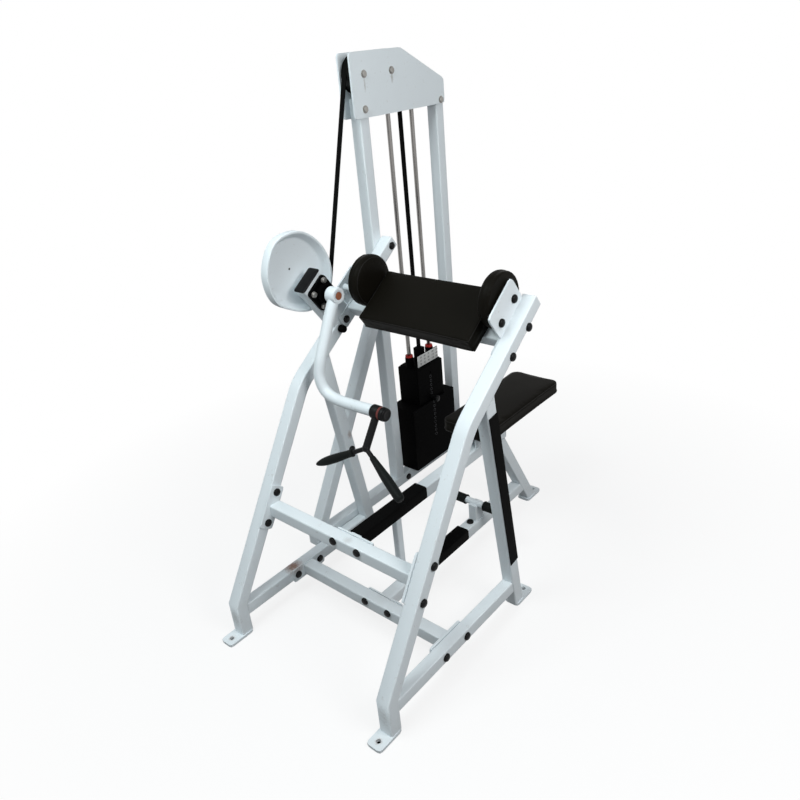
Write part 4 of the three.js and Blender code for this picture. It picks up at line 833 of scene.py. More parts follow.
def soft_edge_tree() -> bpy.types.NodeTree:
    """Merges a CAD node's loose triangles for display and smooths its shallow edges.

    Returns:
        The node tree for a modifier on the node.
    """
    made = Tree("soft_edges")
    merged = made.node("GeometryNodeMergeByDistance")
    merged.inputs["Distance"].default_value = 0.00001
    made.link(made.source.outputs["Geometry"], merged.inputs["Geometry"])
    smooth = made.node("GeometryNodeSetShadeSmooth", domain="FACE")
    made.link(merged.outputs["Geometry"], smooth.inputs["Geometry"])
    angle = made.node("GeometryNodeInputMeshEdgeAngle")
    steep = made.node("FunctionNodeCompare", data_type="FLOAT", operation="GREATER_THAN")
    steep.inputs["B"].default_value = math.radians(50.0)
    made.link(angle.outputs["Unsigned Angle"], steep.inputs["A"])
    sharp = made.node("GeometryNodeSetShadeSmooth", domain="EDGE")
    sharp.inputs["Shade Smooth"].default_value = False
    made.link(smooth.outputs["Geometry"], sharp.inputs["Geometry"])
    made.link(steep.outputs["Result"], sharp.inputs["Selection"])
    made.link(sharp.outputs["Geometry"], made.target.inputs["Geometry"])
    return made.tree


REPEAT = repeat_tree()
TUBE_SWEEP = tube_tree()
SOFT_EDGES = soft_edge_tree()


def line_mesh(points: Sequence[Vector], closed: bool = False) -> bpy.types.Mesh:
    """A mesh of one line.

    Args:
        points: the row points that it passes through.
        closed: whether it comes back to the first point.

    Returns:
        The new mesh, with edges only.
    """
    mesh = bpy.data.meshes.new("line")
    edges = [(k, k + 1) for k in range(len(points) - 1)]
    if closed:
        edges.append((len(points) - 1, 0))
    mesh.from_pydata([tuple(point) for point in points], edges, [])
    return mesh


def repeat(
    name: str, template: bpy.types.Object, places: Sequence[tuple[Vector, Vector]], finish: Finish,
    size: Point = (1.0, 1.0, 1.0),
) -> bpy.types.Object:
    """Copies a small object to many places as one piece.

    Args:
        name: the piece's name.
        template: the object to copy, with its axis along Z and its base at the origin.
        places: pairs of a row point and the direction of the copy's axis.
        finish: what the piece is covered in.
        size: scale of each copy.

    Returns:
        The new object. The template is kept.
    """
    mesh = bpy.data.meshes.new(name + "_points")
    mesh.from_pydata([tuple(place) for place, _ in places], [], [])
    ways = mesh.attributes.new("way", "FLOAT_VECTOR", "POINT")
    ways.data.foreach_set("vector", [part for _, way in places for part in way])
    return REPEAT.run(name, mesh, finish, Copy=template, Size=tuple(size))


def dispose(piece: bpy.types.Object) -> None:
    """Removes a template object once its copies are made."""
    bpy.data.objects.remove(piece)


def dress(name: str, finish: Finish) -> None:
    """Gives a CAD node its finish and soft shading.

    Args:
        name: the node's name.
        finish: its finish.
    """
    piece = NODES[name]
    if not piece.material_slots:
        piece.data.materials.append(finish.material())
    for place in piece.material_slots:
        place.material = finish.material()
    modifier = piece.modifiers.new("soft_edges", "NODES")
    modifier.node_group = SOFT_EDGES
    piece.modifiers.new("flat_faces", "WEIGHTED_NORMAL").keep_sharp = True


def seat_piece(piece: bpy.types.Object, body: str, slot: str, *nodes: str) -> bpy.types.Object:
    """Gives a piece its body and hides the CAD nodes that it stands for.

    Args:
        piece: the finished piece.
        body: the body that it rides on.
        slot: the record's material slot, not used.
        nodes: CAD nodes that it replaces.

    Returns:
        The piece.
    """
    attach(piece, body)
    if nodes:
        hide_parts(*nodes)
    LOG.info("%s rides on %s with %d faces", piece.name, body, len(piece.data.polygons))
    return piece


# ---- the machine's sub-assemblies ----


@dataclass
class PaintedFrame:
    """The welded and bolted frame: its CAD nodes carry the paint, with dirt where the photo shows it, and painted
    shade low on the front of each front foot.
    """

    white: tuple[str, ...] = (
        "left_front_leg", "left_rear_leg", "left_base_rail", "right_front_leg", "right_rear_leg", "right_base_rail",
        "upper_crossbar", "lower_crossbar", "upper_beam", "rear_strut", "lower_beam", "foot_peg_bar", "arm_pad_bar",
        "cam_support_tube", "tower_base_rail", "tower_front_upright", "tower_rear_upright", "tower_brace",
        "head_plate_inner", "head_plate_outer",
    )
    rubber: tuple[str, ...] = ("rear_leg_guard", "upper_beam_sleeve", "lower_beam_sleeve", "lever_bumper")
    shaft: tuple[float, float, float] = (-336.5, 598.0, 1057.0)
    support_slope: float = 35.2
    support_half_x: float = 44.45 / 2
    support_half_y: float = 93.0 / 2
    support_top: float = 57.2
    support_corner: float = 5.0
    stains: tuple[Stain, ...] = (
        Stain((-336, 300, 110), 52, 34, 0.95, WORN_BROWN),
        Stain((-314, 372, 100), 16, 12, 0.35, RUST),
        Stain((-356, 948, 1650), 7, 34, 0.55, GREY_DIRT),
        Stain((-353, 1085, 1660), 9, 24, 0.6, GREY_DIRT),
        Stain((-360, 640, 420), 12, 20, 0.6, RUST),
        Stain((-314, 640, 500), 16, 26, 0.5, RUST),
        Stain((-360, 905, 900), 14, 40, 0.45, RUST),
        Stain((-360, 985, 150), 16, 12, 0.5, RUST),
        Stain((-361, 960, 420), 10, 24, 0.35, GREY_DIRT),
        Stain((42, 250, 428), 24, 8, 0.3, GREY_DIRT),
        # painted shade low on the front of each front foot, as two broad stains
        Stain((336, 20, 80), 40, 56, 0.35, FOOT_SHADE),
        Stain((-336, 20, 80), 40, 56, 0.35, FOOT_SHADE),
        Stain((336, 0, 9), 16, 10, 0.6, RUST),
        Stain((-336, 0, 9), 16, 10, 0.6, RUST),
    )

    def paint(self) -> Finish:
        """The frame's white paint with its stains and its painted shade."""
        return replace(WHITE_PAINT, name="stained_paint", stains=self.stains)

    def build(self) -> None:
        """Paints the CAD nodes and covers the rubber strips and the plain castings."""
        paint = self.paint()
        for name in self.white:
            dress(name, paint)
        for name in self.rubber:
            dress(name, BLACK_RUBBER)
        dress("bearing_housing", BLACK_CASTING)
        LOG.info("painted %d frame nodes", len(self.white))
        self.tube_plug()

    def tube_plug(self) -> None:
        """Fits the black plug in the open end of the shaft's support tube."""
        slope = math.radians(self.support_slope)
        way = Vector((0.0, -math.sin(slope), math.cos(slope)))
        along = Vector((0.0, way.z, -way.y))
        mouth = Vector(self.shaft) + way * self.support_top
        rings = []
        for grow, height in ((-1.0, -0.1), (2.6, 0.0), (2.6, 2.6), (1.4, 3.9), (-2.0, 4.5), (-12.0, 4.8)):
            centre = mouth + way * height
            corner = max(self.support_corner + grow, 2.0)
            outline = rounded_rectangle(self.support_half_x + grow, self.support_half_y + grow, corner, 4)
            rings.append([spot(*(centre + ALONG_X * x + along * y)) for x, y in outline])
        points, faces = loft(rings)
        piece = mesh_object("support_tube_plug", points, faces, CAP_PLASTIC)
        seat_piece(piece, "frame", "black_enamel")


@dataclass
class Fasteners:
    """Black dome caps on the frame's bolts, and bare bolt heads on the head plates and the bearing."""

    leg_face: float = 360.3
    leg_inner: float = 312.7
    flange_inner: float = 306.05
    lower_leg_face: float = 356.5
    lower_flange_inner: float = 309.85
    bracket_face: float = 319.05
    head_plate_faces: Pair = (-353.95, -411.65)
    bearing_face: float = -302.0
    spacing: float = 106.7
    low_cap: float = 0.69
    hole: float = 7.0
    caps: list[tuple[Vector, Vector, float]] = field(default_factory=list)

    def pair(self, centre: Pair, angle: float) -> list[Pair]:
        """The two bolts of a flange.

        Args:
            centre: the flange's centre as y and z.
            angle: the flange's slope in degrees above level.

        Returns:
            The bolts as y and z.
        """
        reach = self.spacing / 2
        way = Vector((math.cos(math.radians(angle)), math.sin(math.radians(angle))))
        return [tuple(Vector(centre) + way * sign * reach) for sign in (-1, 1)]

    def add(self, x: float, y: float, z: float, way: Point, height: float = 1.0) -> None:
        """Notes one cap: its place, the way it points and its height scale."""
        self.caps.append((spot(x, y, z), Vector(way), height))

    def list_caps(self) -> None:
        """Lists every cap from the sizes that place the flanges."""
        upper = self.pair((243.0, 417.0), 57.47)
        arm = self.pair((732.0, 966.0), 34.5)
        lower = self.pair((352.0, 91.225), 0.0)
        for side in Side:
            sign = side.value
            low = self.low_cap if side is Side.LEFT else 1.0
            for y, z in upper + arm:
                self.add(sign * self.leg_face, y, z, (sign, 0, 0), low)
            for y, z in upper + arm[: 1 if side is Side.RIGHT else 2]:
                self.add(sign * self.flange_inner, y, z, (-sign, 0, 0))
            for y, z in lower:
                self.add(sign * self.lower_leg_face, y, z, (sign, 0, 0))
                self.add(sign * self.lower_flange_inner, y, z, (-sign, 0, 0))
        for y, z in ((697.0, 1028.7), (765.0, 1079.8)):
            self.add(self.bracket_face, y, z, (1, 0, 0))
        for y, z in ((707.2, 1043.5), (745.0, 1070.2)):
            self.add(-self.bracket_face, y, z, (-1, 0, 0))
        for x in (-8.5, 92.5):
            self.add(x, 234.0, 412.8, (0, -1, 0))
            self.add(x, 329.775, 99.225, (0, -1, 0))
        self.add(-self.leg_inner, 959.0, 1120.5, (1, 0, 0))
        self.add(-314.3, 639.4, 440.0, (1, 0, 0))
        self.add(42.0, 868.0, 113.45, (0, 0, 1))
        self.add(-360.6, 983.45, 116.2, (1, 0, 0))

    def build(self) -> None:
        """Makes the caps and the bolt heads, each kind as one piece."""
        self.list_caps()
        dome = [
            (0.0, -0.5), (13.1, -0.5), (13.3, 1.0), (13.2, 3.9), (12.4, 5.6),
            (10.6, 7.3), (8.2, 8.6), (4.4, 9.4), (0.0, 9.6),
        ]
        for height, label in ((1.0, "bolt_caps"), (self.low_cap, "low_bolt_caps")):
            template = turned(label + "_one", dome, Vector(), UP, CAP_PLASTIC, 20)
            places = [(place, way) for place, way, tall in self.caps if tall == height]
            piece = repeat(label, template, places, CAP_PLASTIC, (1.0, 1.0, height))
            dispose(template)
            seat_piece(piece, "frame", "black_enamel")
        self.bolt_heads()
        self.hole_dirt()

    def hole_dirt(self) -> None:
        """Puts a thin dark disc in the floor bolt holes of the six foot plates: painted shade for the shadowed
        bottom of each hole.
        """
        # painted shade: the disc stands in for the shade inside the hole
        disc = [(0.0, 0.1), (self.hole - 0.2, 0.1), (self.hole, 0.4), (self.hole - 0.6, 0.9), (0.0, 1.2)]
        template = turned("hole_dirt_one", disc, Vector(), UP, BLACK_RUBBER, 24)
        middle = (self.leg_face + self.leg_inner) / 2
        leg_holes = [(middle * side.value, y) for side in Side for y in (0.0, 769.0)]
        seat_hole, tower_hole = (42.0, 1322.0), (-382.8, 1310.0)
        places = [(spot(x, y, 0.0), UP) for x, y in (*leg_holes, seat_hole, tower_hole)]
        piece = repeat("foot_hole_dirt", template, places, BLACK_RUBBER)
        dispose(template)
        seat_piece(piece, "frame", "black_rubber")

    def bolt_heads(self) -> None:
        """Makes the hexagon heads with washers on the head plates, and those of the bearing."""
        heads = []
        inner, outer = self.head_plate_faces
        for y, z in ((948.0, 1683.0), (1084.95, 1683.0), (939.0, 1577.0), (1347.0, 1563.0)):
            heads += [(spot(inner, y, z), ALONG_X), (spot(outer, y, z), -ALONG_X)]
        template = self.hexagon("head_one", 10.6, 6.1, 12.6)
        seat_piece(repeat("head_plate_bolts", template, heads, ZINC_STEEL), "frame", "guide_rod_chrome")
        dispose(template)
        bearing = [
            (spot(self.bearing_face, y, z), ALONG_X)
            for y, z in ((590.8, 1015.2), (639.8, 1049.8), (605.2, 1098.8), (556.2, 1064.2))
        ]
        template = self.hexagon("bearing_one", 9.4, 8.6, 10.4)
        seat_piece(repeat("bearing_bolts", template, bearing, ZINC_STEEL), "frame", "guide_rod_chrome")
        dispose(template)

    @staticmethod
    def hexagon(name: str, radius: float, height: float, washer: float) -> bpy.types.Object:
        """A bolt head on its washer, with its base at the origin.

        Args:
            name: the template's name.
            radius: from its axis to a corner.
            height: how far it stands out.
            washer: the washer's radius.

        Returns:
            The template object.
        """
        steps = 24
        plate = ((washer, -0.5), (washer, 1.3), (radius + 0.6, 1.5))
        rings = [circle(UP * (z * MM), UP, size * MM, steps) for size, z in plate]
        for shrink, z in ((1.0, 1.5), (1.0, height - 1.2), (0.86, height), (0.3, height)):
            ring = []
            for k in range(steps):
                turn = 2 * math.pi * k / steps
                edge = radius * math.cos(math.pi / 6) / math.cos((turn % (math.pi / 3)) - math.pi / 6)
                flat = min(edge, radius * 0.93) if shrink == 1.0 else edge
                ring.append(Vector((math.cos(turn) * flat * shrink, math.sin(turn) * flat * shrink, z)) * MM)
            rings.append(ring)
        points, faces = loft(rings)
        return mesh_object(name, points, faces, ZINC_STEEL)


@dataclass
class Cushion:
    """A padded block in vinyl: drawn-in sides, a crowned top and a soft rounded edge."""

    name: str
    width: float
    length: float
    height: float
    base: tuple[float, float, float]
    tilt: float
    corner: float
    edge: float
    crown: float
    fill: float
    cap: float = 5.0
    voxel: float = 4.5
    draw_in: float = 1.6
    side_step: float = 12.0

    def outline(self, inset: float, shrink: float = 1.0) -> list[Vector]:
        """A rounded rectangle whose long sides are drawn in between the corners.

        Args:
            inset: how far it lies inside the full size.
            shrink: scale about the middle.

        Returns:
            The points in millimetres at height zero.
        """
        radius = max(self.corner - inset, 3.0)
        half_x, half_y = self.width / 2 - inset, self.length / 2 - inset
        corners = [Vector((x, y, 0)) for x, y in rounded_rectangle(half_x, half_y, radius, 12)]
        points = []
        for here, after in zip(corners, corners[1:] + corners[:1]):
            count = max(1, round((after - here).length / self.side_step))
            for step in range(count):
                point = here.lerp(after, step / count)
                if count > 1:
                    pull = math.sin(math.pi * step / count) * self.draw_in
                    inward_x = point.x / half_x if abs(point.x) > half_x - radius else 0
                    inward_y = point.y / half_y if abs(point.y) > half_y - radius else 0
                    point -= Vector((inward_x, inward_y, 0)) * pull
                points.append(point * shrink)
        return points

    def shell(self) -> bpy.types.Object:
        """The pad's starting form in its own frame, a little smaller than the finished pad.

        Returns:
            The object, in metres, with its base at z zero.
        """
        rings = []
        shoulder = self.height - self.crown

        def ring(inset: float, z: float, shrink: float = 1.0) -> None:
            """Adds one ring at a height."""
            rings.append([(point + UP * z) * MM for point in self.outline(inset, shrink)])

        ring(12.0, 0.0)
        ring(3.0, 0.0)
        ring(1.0, 2.0)
        ring(0.6, 8.0)
        ring(1.2, shoulder / 2)
        for step in range(6):
            turn = math.radians(18 * step)
            ring(0.6 + self.edge * (1 - math.cos(turn)), shoulder - self.edge * (1 - math.sin(turn)))
        for share in (0.93, 0.8, 0.62, 0.42, 0.2, 0.02):
            ring(0.6 + self.edge, shoulder + self.crown * (1 - share * share), share)
        points, faces = loft(rings)
        return mesh_object(self.name, points, faces, DARK_VINYL)

    def place(self, piece: bpy.types.Object) -> None:
        """Moves the finished mesh to its place in the machine.

        Args:
            piece: the finished pad, still in its own frame.
        """
        turn = Matrix.Rotation(math.radians(self.tilt), 4, "X")
        piece.data.transform(Matrix.Translation(spot(*self.base)) @ turn)
        piece.data.update()

    def build(self) -> bpy.types.Object:
        """Makes the pad, fills it by simulation and puts it in place.

        Returns:
            The finished object.
        """
        piece = self.shell()
        inflate(piece, self.cap * MM, self.voxel * MM, UP)
        self.place(piece)
        piece.data.shade_smooth()
        return piece


@dataclass
class RoundPad:
    """A round side pad: a thick rolled rim round a face that is drawn in a little."""

    name: str
    back: tuple[float, float, float]
    way: int
    radius: float = 86.0
    thickness: float = 41.0
    fill: float = 0.7
    cap: float = 2.2
    voxel: float = 4.0

    def build(self) -> bpy.types.Object:
        """Makes the pad by turning its section, fills it by simulation and puts it in place.

        Returns:
            The finished object.
        """
        r, t = self.radius, self.thickness
        section = [
            (0.0, 0.0), (r * 0.5, 0.0), (r - 5, 0.0), (r - 2.5, 1.0), (r - 1.8, 4.0), (r - 2.2, 8.5),
            (r - 4.2, 10.2), (r - 3.4, 11.6), (r - 1.3, 15.0), (r - 0.6, 21.0), (r - 1.4, 27.5),
            (r - 4.0, 33.0), (r - 8.5, 36.8), (r - 15.0, 39.0), (r - 24.0, t - 1.2),
            (r * 0.5, t - 0.6), (r * 0.25, t - 0.3), (0.0, t - 0.2),
        ]
        way = ALONG_X * self.way
        piece = turned(self.name, section, Vector(), way, DARK_VINYL, 72)
        inflate(piece, self.cap * MM, self.voxel * MM, way)
        piece.data.transform(Matrix.Translation(spot(*self.back)))
        piece.data.update()
        piece.data.shade_smooth()
        return piece


CLOTH_FRAMES = 20
HELD_BASE = 0.002  # metres at the pad's base that the filling does not move
FREE_ABOVE = 0.012  # metres over which the filling comes in above that


def inflate(piece: bpy.types.Object, cap: float, voxel: float, up: Vector) -> None:
    """Fills a closed form like a pad, with cloth under pressure, and applies the result.

    Args:
        piece: the form, in metres, near the origin.
        cap: how far a point may move.
        voxel: the remesh size.
        up: the way from its flat base to its crown; the base keeps its place.
    """
    remesh = piece.modifiers.new("remesh", "REMESH")
    remesh.mode = "VOXEL"
    remesh.voxel_size = voxel
    fresh = evaluated_mesh(piece)
    piece.modifiers.clear()
    materials = list(piece.data.materials)
    piece.data = fresh
    if not fresh.materials:
        for material in materials:
            fresh.materials.append(material)
    rest = np.empty(len(fresh.vertices) * 3)
    fresh.vertices.foreach_get("co", rest)
    cloth = piece.modifiers.new("filling", "CLOTH")
    cloth.settings.quality = 6
    cloth.settings.mass = 0.3
    cloth.settings.tension_stiffness = 40
    cloth.settings.compression_stiffness = 40
    cloth.settings.bending_stiffness = 4
    cloth.settings.use_pressure = True
    cloth.settings.uniform_pressure_force = 4
    cloth.settings.effector_weights.gravity = 0
    cloth.point_cache.frame_start = 1
    cloth.point_cache.frame_end = CLOTH_FRAMES
    scene = bpy.context.scene
    for moment in range(1, CLOTH_FRAMES + 1):
        scene.frame_set(moment)
    graph = bpy.context.evaluated_depsgraph_get()
    solved = piece.evaluated_get(graph)
    moved = np.empty(len(fresh.vertices) * 3)
    solved.data.vertices.foreach_get("co", moved)
    piece.modifiers.clear()
    scene.frame_set(1)
    start, end = rest.reshape(-1, 3), moved.reshape(-1, 3)
    shift = end - start
    far = np.linalg.norm(shift, axis=1, keepdims=True)
    shift *= np.minimum(1.0, cap / np.maximum(far, 1e-9))
    height = start @ np.array(up)
    shift *= np.clip((height - height.min() - HELD_BASE) / FREE_ABOVE, 0.0, 1.0)[:, None]
    fresh.vertices.foreach_set("co", (start + shift).ravel())
    fresh.update()
    finer = piece.modifiers.new("finer", "SUBSURF")
    finer.levels = finer.render_levels = 1
    smooth = evaluated_mesh(piece)
    piece.modifiers.clear()
    piece.data = smooth
    LOG.info("%s filled, %d faces", piece.name, len(smooth.polygons))


def seam(name: str, loop: Sequence[Vector], pad: bpy.types.Object, radius: float) -> bpy.types.Object:
    """A sewn seam that lies on a finished pad.

    Args:
        name: the piece's name.
        loop: a closed loop of row points near the surface.
        pad: the pad.
        radius: the seam's radius in metres.

    Returns:
        The new object.
    """
    corners = [vertex.co for vertex in pad.data.vertices]
    tree = BVHTree.FromPolygons(corners, [tuple(face.vertices) for face in pad.data.polygons])
    placed = []
    for point in loop:
        here, normal, _, _ = tree.find_nearest(point)
        placed.append(here + normal * radius * 0.1)
    return TUBE_SWEEP.run(name, line_mesh(placed, True), SEAM_VINYL, Radius=radius)


@dataclass
class Upholstery:
    """The seat, the sloped arm pad and the two round side pads."""

    seat: Cushion = field(default_factory=lambda: Cushion(
        "seat_pad", 211.0, 499.0, 46.5, (42.0, 1108.0, 489.0), 0.0, 34.0, 9.0, 2.0, 0.85, 2.5,
    ))
    arm: Cushion = field(default_factory=lambda: Cushion(
        "arm_pad", 440.0, 200.5, 56.5, (42.0, 728.0, 998.3), 34.5, 7.0, 5.5, 2.0, 0.9, 2.0,
    ))
    left: RoundPad = field(default_factory=lambda: RoundPad("left_round_pad", (-221.5, 716.0, 1079.0), 1))
    right: RoundPad = field(default_factory=lambda: RoundPad("right_round_pad", (305.5, 736.0, 1082.0), -1))
    block_seam: float = 1.1
    disc_seam: float = 1.0

    def build(self) -> None:
        """Makes the pads and the seams along their edges."""
        for cushion, node in ((self.seat, "seat_cushion"), (self.arm, "arm_pad_cushion")):
            pad = seat_piece(cushion.build(), "frame", "dark_vinyl", node)
            turn = Matrix.Rotation(math.radians(cushion.tilt), 3, "X")
            for label, inset, height in (("top", 2.5, cushion.height - cushion.crown - 2.0), ("base", 0.5, 7.0)):
                loop = [point + UP * height for point in cushion.outline(inset)]
                places = [spot(*cushion.base) + turn @ point * MM for point in loop]
                piece = seam(f"{cushion.name}_{label}_seam", places, pad, self.block_seam * MM)
                seat_piece(piece, "frame", "dark_vinyl")
        for disc, node in ((self.left, "left_side_pad"), (self.right, "right_side_pad")):
            pad = seat_piece(disc.build(), "frame", "dark_vinyl", node)
            way = ALONG_X * disc.way
            face = spot(*disc.back) + way * (disc.thickness - 3.0) * MM
            rim = circle(face, way, (disc.radius - 9.0) * MM, 96)
            seat_piece(seam(f"{disc.name}_seam", rim, pad, self.disc_seam * MM), "frame", "dark_vinyl")


@dataclass
class CamAndLever:
    """The cam with its open rim, its shaft, and the bent tube that carries the handle."""

    pivot_y: float = 598.0
    pivot_z: float = 1057.0
    back: float = 402.5
    depth: float = 32.0
    web: float = 6.0
    rim: float = 8.0
    reach: float = 216.0
    shares: tuple[float, ...] = (0.5, 0.6, 0.735, 0.91, 0.995, 0.86, 0.66, 0.43, 0.345, 0.33, 0.335, 0.4)
    lever_x: float = 250.0
    tube_radius: float = 19.0
    forward: float = 113.0
    drop: float = 308.0
    curve: tuple[Pair, ...] = ((0.22, 0.137), (0.57, 0.385), (0.885, 0.62))
    bend: float = 62.0
    end: float = 22.0
    hole: Pair = (550.0, 1139.2)
    shaft_face: float = 231.0
    hub_start: float = 271.0

    def outline(self, inset: float = 0.0) -> list[Vector]:
        """The cam's outline moved inwards.

        Args:
            inset: how far.

        Returns:
            The points as (0, y, z) in layout millimetres.
        """
        marks = []
        for k, share in enumerate(self.shares):
            turn = 2 * math.pi * k / len(self.shares)
            marks.append(Vector((0, math.cos(turn), math.sin(turn))) * self.reach * share)
        line = smooth_line(marks, 10, True)
        moved = []
        for before, here, after in zip(line[-1:] + line[:-1], line, line[1:] + line[:1]):
            way = (after - before).normalized()
            moved.append(here - Vector((0, way.z, -way.y)) * inset + Vector((0, self.pivot_y, self.pivot_z)))
        return moved

    def belt_line(self, offset: float, touch: int, count: int) -> list[Vector]:
        """The points of the outline that the belt lies on, at the belt's offset."""
        line = self.outline(-offset)
        return [line[(touch - k) % len(line)] for k in range(count, -1, -1)]

    def build(self) -> None:
        """Makes the cam, the shaft and the lever."""
        self.cam()
        self.shaft()
        self.lever()

    def cam(self) -> None:
        """Makes the dished cam."""
        front = self.depth - self.back
        floor = self.web - self.back
        centre = Vector((0, self.pivot_y, self.pivot_z))
        start = Vector((0, 1, 0))
        count = len(self.outline())

        def edge(inset: float, x: float) -> list[Vector]:
            """The outline at an inset and a depth."""
            return [spot(x, point.y, point.z) for point in self.outline(inset)]

        def disc(radius: float, x: float) -> list[Vector]:
            """A circle about the shaft at a depth."""
            return [spot(*(point + ALONG_X * x)) for point in circle(centre, ALONG_X, radius, count, start)]

        rings = [
            disc(24.0, -self.back), edge(2.4, -self.back), edge(0.7, -self.back + 0.7), edge(0.0, -self.back + 2.4),
            edge(0.0, front - 1.8), edge(0.5, front - 0.5), edge(1.8, front), edge(self.rim - 2.0, front),
            edge(self.rim - 0.5, front - 0.6), edge(self.rim + 0.8, front - 2.2),
            edge(self.rim + 11.5, floor + 5.0), edge(self.rim + 14.5, floor + 1.4), edge(self.rim + 19.0, floor),
            disc(34.0, floor), disc(31.2, floor + 1.0), disc(30.0, floor + 4.0),
            disc(30.0, front - 1.5), disc(28.5, front), disc(13.2, front),
        ]
        points, faces = loft(rings)
        piece = mesh_object("cam_plate", points, faces, WHITE_PAINT)
        seat_piece(piece, "cam_lever", "white_paint", "cam")
        hole = [(0.0, -0.6), (3.4, -0.6), (3.6, 0.0), (3.2, 0.5), (0.0, 0.25)]
        piece = turned("cam_hole", hole, spot(floor, *self.hole), ALONG_X, CAP_PLASTIC, 24)
        seat_piece(piece, "cam_lever", "black_enamel")

    def shaft(self) -> None:
        """Makes the shaft through the bearing and its bare end."""
        start = spot(self.depth - self.back - 1.0, self.pivot_y, self.pivot_z)
        length = self.back - self.depth - self.shaft_face + 1.0
        profile = [(0.0, 0.0), (12.7, 0.0), (12.7, length - 2.0), (12.2, length - 0.8), (0.0, length - 0.8)]
        piece = turned("lever_shaft", profile, start, ALONG_X, ZINC_STEEL, 40)
        seat_piece(piece, "cam_lever", "guide_rod_chrome")
        end = [(0.0, 0.0), (12.9, 0.0), (12.9, 0.5), (12.2, 1.1), (3.0, 1.3), (2.2, 0.6), (0.0, 0.5)]
        base = spot(-self.shaft_face - 0.2, self.pivot_y, self.pivot_z)
        piece = turned("lever_shaft_end", end, base, ALONG_X, COPPER_END, 40)
        seat_piece(piece, "cam_lever", "black_casting")

    def lever(self) -> None:
        """Makes the bent tube, its hub, the spindle and the round end cap."""
        marks = [Vector((-self.lever_x, 0, 0))]
        for forward, drop in self.curve:
            marks.append(Vector((-self.lever_x, -self.forward * forward, -self.drop * drop)))
        marks.append(Vector((-self.lever_x, -self.forward, self.bend - self.drop)))
        short = self.bend * (1 - math.sqrt(0.5))
        marks.append(Vector((short - self.lever_x, -self.forward, short - self.drop)))
        marks.append(Vector((self.bend - self.lever_x, -self.forward, -self.drop)))
        marks.append(Vector((-self.end, -self.forward, -self.drop)))
        shaft = Vector((0, self.pivot_y, self.pivot_z))
        line = [spot(*(point + shaft)) for point in smooth_line(marks, 12)]
        piece = TUBE_SWEEP.run("lever_tube", line_mesh(line), WHITE_PAINT, Radius=self.tube_radius * MM)
        seat_piece(piece, "cam_lever", "white_paint", "lever_arm")
        hub = [
            (13.6, 0.0), (25.0, 0.0), (26.6, 1.6), (27.0, 4.0), (27.0, 37.5), (26.2, 39.3),
            (24.6, 40.0), (15.4, 40.0), (14.2, 39.2), (13.4, 37.6), (13.3, 0.5),
        ]
        base = spot(-self.hub_start, self.pivot_y, self.pivot_z)
        piece = turned("lever_hub", hub, base, ALONG_X, WHITE_PAINT, 64, bore=True)
        seat_piece(piece, "cam_lever", "white_paint")
        tip = spot(-self.end, self.pivot_y - self.forward, self.pivot_z - self.drop)
        spindle = [(0.0, -8.0), (11.0, -8.0), (11.0, 52.0), (0.0, 52.0)]
        piece = turned("handle_spindle", spindle, tip, ALONG_X, ZINC_STEEL, 32)
        seat_piece(piece, "cam_lever", "guide_rod_chrome")
        cap = [
            (0.0, 51.2), (18.5, 51.2), (20.8, 52.2), (21.2, 54.0), (20.6, 56.2),
            (18.0, 58.0), (13.5, 58.6), (11.5, 57.6), (7.0, 57.4), (0.0, 57.6),
        ]
        piece = turned("spindle_cap", cap, tip, ALONG_X, CAP_PLASTIC, 40)
        seat_piece(piece, "cam_lever", "black_enamel")


